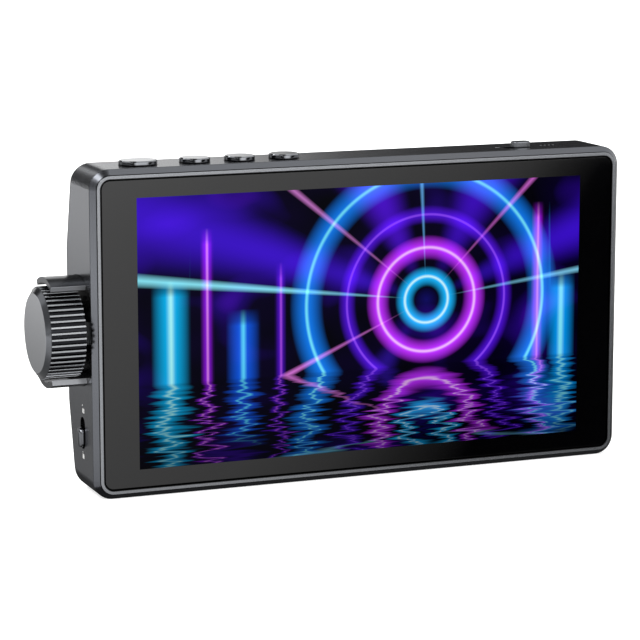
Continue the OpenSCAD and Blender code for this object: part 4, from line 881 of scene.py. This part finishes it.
# %% Printed marks
INK_T = 0.02 * MM
white_ink = finish("white_ink", "e6e6e4", 0.5, grain=0.2, bump=0.001, IOR=1.5)
grey_ink = finish("grey_ink", "7c7e82", 0.5, grain=0.2, bump=0.001, IOR=1.5)
side_marks = [rectangle(-1.75, -0.25, 20.6, 21.8), rectangle(-0.6, -0.1, 22.3, 22.7),
              rectangle(-1.35, 0.05, 8.9, 10.1), rectangle(-0.4, 0.0, 10.4, 10.7)]
extruded("side_switch_marks",
         [[(left_x, y * MM, z * MM) for y, z in mark] for mark in side_marks],
         (-INK_T, 0, 0), "root", white_ink)
top_marks = [rectangle(40.1, 41.3, -1.9, -1.4)] + [
    rectangle(x, x + 0.4, -1.6, -1.1) for x in (53.2, 54.4, 55.6, 56.8)]
extruded("top_switch_marks",
         [[(x * MM, y * MM, top_z) for x, y in mark] for mark in top_marks],
         (0, 0, INK_T), "root", grey_ink)

# %% [markdown]
# ## Moulded and turned pieces
# Pieces that swell or draw in along their length are lofted: rings of points, one above the
# other, are joined by a skin. The skin ends in two flat faces, or runs back into its first
# ring where the piece has a bore.


# %% Pieces from rings
SHARP_ANGLE = 32  # degrees between faces from which an edge shows


def lofted(name, rings, body, material, bored=False):
    """A skin over rings of 3-D points, which all have the same number of points."""
    work = bmesh.new()
    loops = [[work.verts.new(p) for p in ring] for ring in rings]
    for below, above_it in zip(loops, loops[1:] + (loops[:1] if bored else [])):
        for i, corner in enumerate(below):
            after = (i + 1) % len(below)
            work.faces.new((corner, below[after], above_it[after], above_it[i]))
    if not bored:
        work.faces.new(loops[0])
        work.faces.new(loops[-1])
    bmesh.ops.remove_doubles(work, verts=work.verts, dist=1e-7)
    made = as_piece(work, name, body, material)
    made.data.shade_smooth()
    made.data.set_sharp_from_angle(angle=math.radians(SHARP_ANGLE))
    return made


# %% [markdown]
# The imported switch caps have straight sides. The moulded ones are rounded off: the top one
# along its rim, the side one over most of its height, like half a barrel, so its flank carries
# a long highlight. One skin goes up from the peg in the switch, over the shoe that holds the
# cap in the case, to the head. U runs along the slot, V across it and W out of the case.

# %% How a cap is made
CAP_HALF_U, CAP_HALF_V = 2.6, 1.45  # mm, as are the next ones
PEG_HALF, PEG_LOW_W, SHOE_LOW_W, SHOE_HIGH_W = 0.7, -4.5, -3.1, -2.3
PEG_CORNER, SHOE_CORNER = 0.1, 0.2
QUARTER_STEPS = 7  # points in a quarter circle


def round_ring(half_u, half_v, corner, w):
    """A rectangle with round corners at height w, counted from its middle."""
    points = []
    for quarter, (side_u, side_v) in enumerate([(1, 1), (-1, 1), (-1, -1), (1, -1)]):
        for i in range(QUARTER_STEPS + 1):
            turn = math.pi / 2 * (quarter + i / QUARTER_STEPS)
            points.append((side_u * (half_u - corner) + corner * math.cos(turn),
                           side_v * (half_v - corner) + corner * math.sin(turn), w))
    return points


def slide_cap(node, body, shoe_half_u, rise, rounds, place_uvw):
    """A rounded cap in a packed cap's place. rounds says how far the round reaches along U, V
    and W; place_uvw turns U, V and W in mm into a point."""
    low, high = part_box(node)
    shoe = (shoe_half_u / MM, (high.y - low.y) / MM / 2, SHOE_CORNER)
    rings = [round_ring(PEG_HALF, PEG_HALF, PEG_CORNER, PEG_LOW_W),
             round_ring(PEG_HALF, PEG_HALF, PEG_CORNER, SHOE_LOW_W),
             round_ring(*shoe, SHOE_LOW_W), round_ring(*shoe, SHOE_HIGH_W),
             round_ring(CAP_HALF_U, CAP_HALF_V, CAP_HALF_V, SHOE_HIGH_W)]
    for i in range(QUARTER_STEPS + 1):
        turn = math.pi / 2 * i / QUARTER_STEPS
        drawn_in = 1 - math.cos(turn)
        half_v = CAP_HALF_V - rounds[1] * drawn_in
        rings.append(round_ring(CAP_HALF_U - rounds[0] * drawn_in, half_v, half_v,
                                rise - rounds[2] * (1 - math.sin(turn))))
    made = lofted("rounded_" + node, [[place_uvw(*p) for p in ring] for ring in rings], body,
                  cap_coat)
    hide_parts(node)


# %% Slide switch caps
top_low, top_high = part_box("top_switch_cap")
side_low, side_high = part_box("side_switch_cap")
top_middle, side_middle = (top_low + top_high) / 2, (side_low + side_high) / 2
slide_cap("top_switch_cap", "top_switch", top_high.x - top_middle.x, 1.6, (0.35, 0.3, 0.3),
          lambda u, v, w: (top_middle.x + u * MM, top_middle.y + v * MM, top_z + w * MM))
slide_cap("side_switch_cap", "side_switch", side_high.z - side_middle.z, 1.4, (0.9, 1.0, 1.1),
          lambda u, v, w: (left_x - w * MM, side_middle.y + v * MM, side_middle.z + u * MM))

# %% [markdown]
# ## Stand thread
# The insert in the bottom is turned brass with the quarter-inch thread of camera stands, 20
# turns to the inch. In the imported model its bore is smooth, at the thread's inner radius. Here
# the bore's radius follows the thread: it depends on how far a point is along the helix, which
# is its height less its share of a turn. A short cone at the mouth leads the screw in.

# %% Stand thread
PITCH, THREAD_R, BORE_R = 1.27, 3.175, 2.6  # the thread's turn, outer and inner radius, mm
FLAT_SHARE, LEAD_IN = 0.12, 0.15  # flat crests' share of the half pitch; cone at the mouth, mm
INSERT_R, RIM_T = 3.78, 0.6
AROUND, ROWS_A_TURN = 60, 10  # points round the bore, rows of points along one turn
insert_low, insert_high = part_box("stand_insert")
insert_len = (insert_high.z - insert_low.z) / MM


def bore_at(turn, z):
    """Radius of the threaded bore in mm, at a share of a turn and a height in mm."""
    along = (z / PITCH - turn) % 1
    flank = (abs(along - 0.5) * 2 - FLAT_SHARE) / (1 - 2 * FLAT_SHARE)
    flank = min(max(flank, 0.0), 1.0)
    return max(THREAD_R - flank * (THREAD_R - BORE_R), THREAD_R + LEAD_IN - z)


def around(radius_at, z):
    """A ring of points round the thread's axis."""
    ring = []
    for step_i in range(AROUND):
        turn = step_i / AROUND
        r = radius_at(turn, z) * MM
        ring.append((r * math.cos(math.tau * turn), r * math.sin(math.tau * turn), z * MM))
    return ring


row_count = round(insert_len / PITCH * ROWS_A_TURN)
thread_rings = [around(bore_at, insert_len * row / row_count) for row in range(row_count + 1)]
thread_rings += [around(lambda turn, z, r=r: r, z) for r, z in (
    (INSERT_R, insert_len), (INSERT_R, RIM_T), (insert_high.x / MM, RIM_T),
    (insert_high.x / MM, 0.0))]
threaded = lofted("threaded_stand_insert", thread_rings, "root", brass, bored=True)
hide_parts("stand_insert")

# %% [markdown]
# ## Release spring
# The spring behind the battery release is wound from round steel wire. Its last turn at each end
# lies almost flat, so that it stands straight, and the turns between share the rest of the length.
# In the monitor it shortens as the button goes in, its foot staying put; here it is wound at the
# length of the imported spring.

# %% Release spring
TURNS, WIRE_R, STEPS_A_TURN, WIRE_SIDES = 5, 0.2, 28, 10
END_RISE = 2.1 * WIRE_R  # how far an end turn climbs, mm
spring_low, spring_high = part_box("latch_spring")
spring_x, spring_z = (spring_low.x + spring_high.x) / 2, (spring_low.z + spring_high.z) / 2
coil_r = (spring_high.x - spring_low.x) / MM / 2 - WIRE_R
climb = (spring_high.y - spring_low.y) / MM - 2 * WIRE_R


def wire_height(turns):
    """Height of the wire's middle in mm after so many turns."""
    if turns <= 1:
        return turns * END_RISE
    if turns >= TURNS - 1:
        return climb - (TURNS - turns) * END_RISE
    return END_RISE + (turns - 1) / (TURNS - 2) * (climb - 2 * END_RISE)


def wire_ring(turns):
    """A ring of points round the wire after so many turns."""
    ring = []
    for side_i in range(WIRE_SIDES):
        around_wire = math.tau * side_i / WIRE_SIDES
        r = coil_r + WIRE_R * math.cos(around_wire)
        ring.append((spring_x + r * math.cos(math.tau * turns) * MM,
                     spring_low.y + (WIRE_R + wire_height(turns)
                                     + WIRE_R * math.sin(around_wire)) * MM,
                     spring_z + r * math.sin(math.tau * turns) * MM))
    return ring


coil = lofted("wound_latch_spring", [wire_ring(i / STEPS_A_TURN)
                                     for i in range(TURNS * STEPS_A_TURN + 1)],
              "root", zinc)
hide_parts("latch_spring")
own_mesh(coil)

# %% [markdown]
# ## Contacts in the sockets
# Each socket's tongue carries gold-plated strips where the plug's springs touch: ten and nine,
# a millimetre apart and staggered, in a full-size video socket, and twelve on each side, half a
# millimetre apart, in the small data socket. They are two hundredths of a millimetre thick.

# %% Contact strips
STRIP_T = 0.02 * MM
VIDEO_Y, DATA_Y = (0.1, 1.4), (-0.35, 0.35)  # the tongue's faces from the socket's middle, mm


def strips(socket, face_y, tip_in, length, count, pitch, width):
    """Outlines of a row of strips on a tongue's face. Their tips lie tip_in behind the mouth;
    all lengths are in mm."""
    low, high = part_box(socket)
    middle_y, middle_z = (low.y + high.y) / 2, (low.z + high.z) / 2
    tip_x = high.x - tip_in * MM
    outlines = []
    for i in range(count):
        z = middle_z + (i - (count - 1) / 2) * pitch * MM
        outlines.append([(x, middle_y + face_y * MM, edge_z) for x, edge_z in rectangle(
            tip_x - length * MM, tip_x, z - width / 2 * MM, z + width / 2 * MM)])
    return outlines


for face, video_count, side_y in ((0, 9, -1), (1, 10, 1)):
    rows = strips("data_socket", DATA_Y[face], tip_in=1.3, length=4.2, count=12, pitch=0.5,
                  width=0.25)
    for video_socket in ("video_in_socket", "video_out_socket"):
        rows += strips(video_socket, VIDEO_Y[face], tip_in=1.9, length=5.8, count=video_count,
                       pitch=1.0, width=0.45)
    extruded("contact_strips_" + ("front", "back")[face], rows, (0, side_y * STRIP_T, 0), "root",
             gold)

# %% [markdown]
# ## Poles of the battery
# A battery plate shows which contact is which: a plus and a minus stand on its face above the
# outer contacts, a tenth of a millimetre proud and inked grey.

# %% Plus and minus
RAIL_RISE, SIGN_T = 4.8, 0.1  # the rails' height over the plate's face and the signs', mm
POLE_X, SIGN_Z = 8.5, 22.0
ARM, HALF_BAR = 1.1, 0.3
plate_face_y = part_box("battery_plate")[1].y - RAIL_RISE * MM
plus = [(ARM, -HALF_BAR), (ARM, HALF_BAR), (HALF_BAR, HALF_BAR), (HALF_BAR, ARM),
        (-HALF_BAR, ARM), (-HALF_BAR, HALF_BAR), (-ARM, HALF_BAR), (-ARM, -HALF_BAR),
        (-HALF_BAR, -HALF_BAR), (-HALF_BAR, -ARM), (HALF_BAR, -ARM), (HALF_BAR, -HALF_BAR)]
minus = rectangle(-ARM, ARM, -HALF_BAR, HALF_BAR)
signs = [[((x_at + u) * MM, plate_face_y, (SIGN_Z + v) * MM) for u, v in sign]
         for x_at, sign in ((-POLE_X, plus), (POLE_X, minus))]
extruded("battery_pole_signs", signs, (0, SIGN_T * MM, 0), "root", grey_ink)
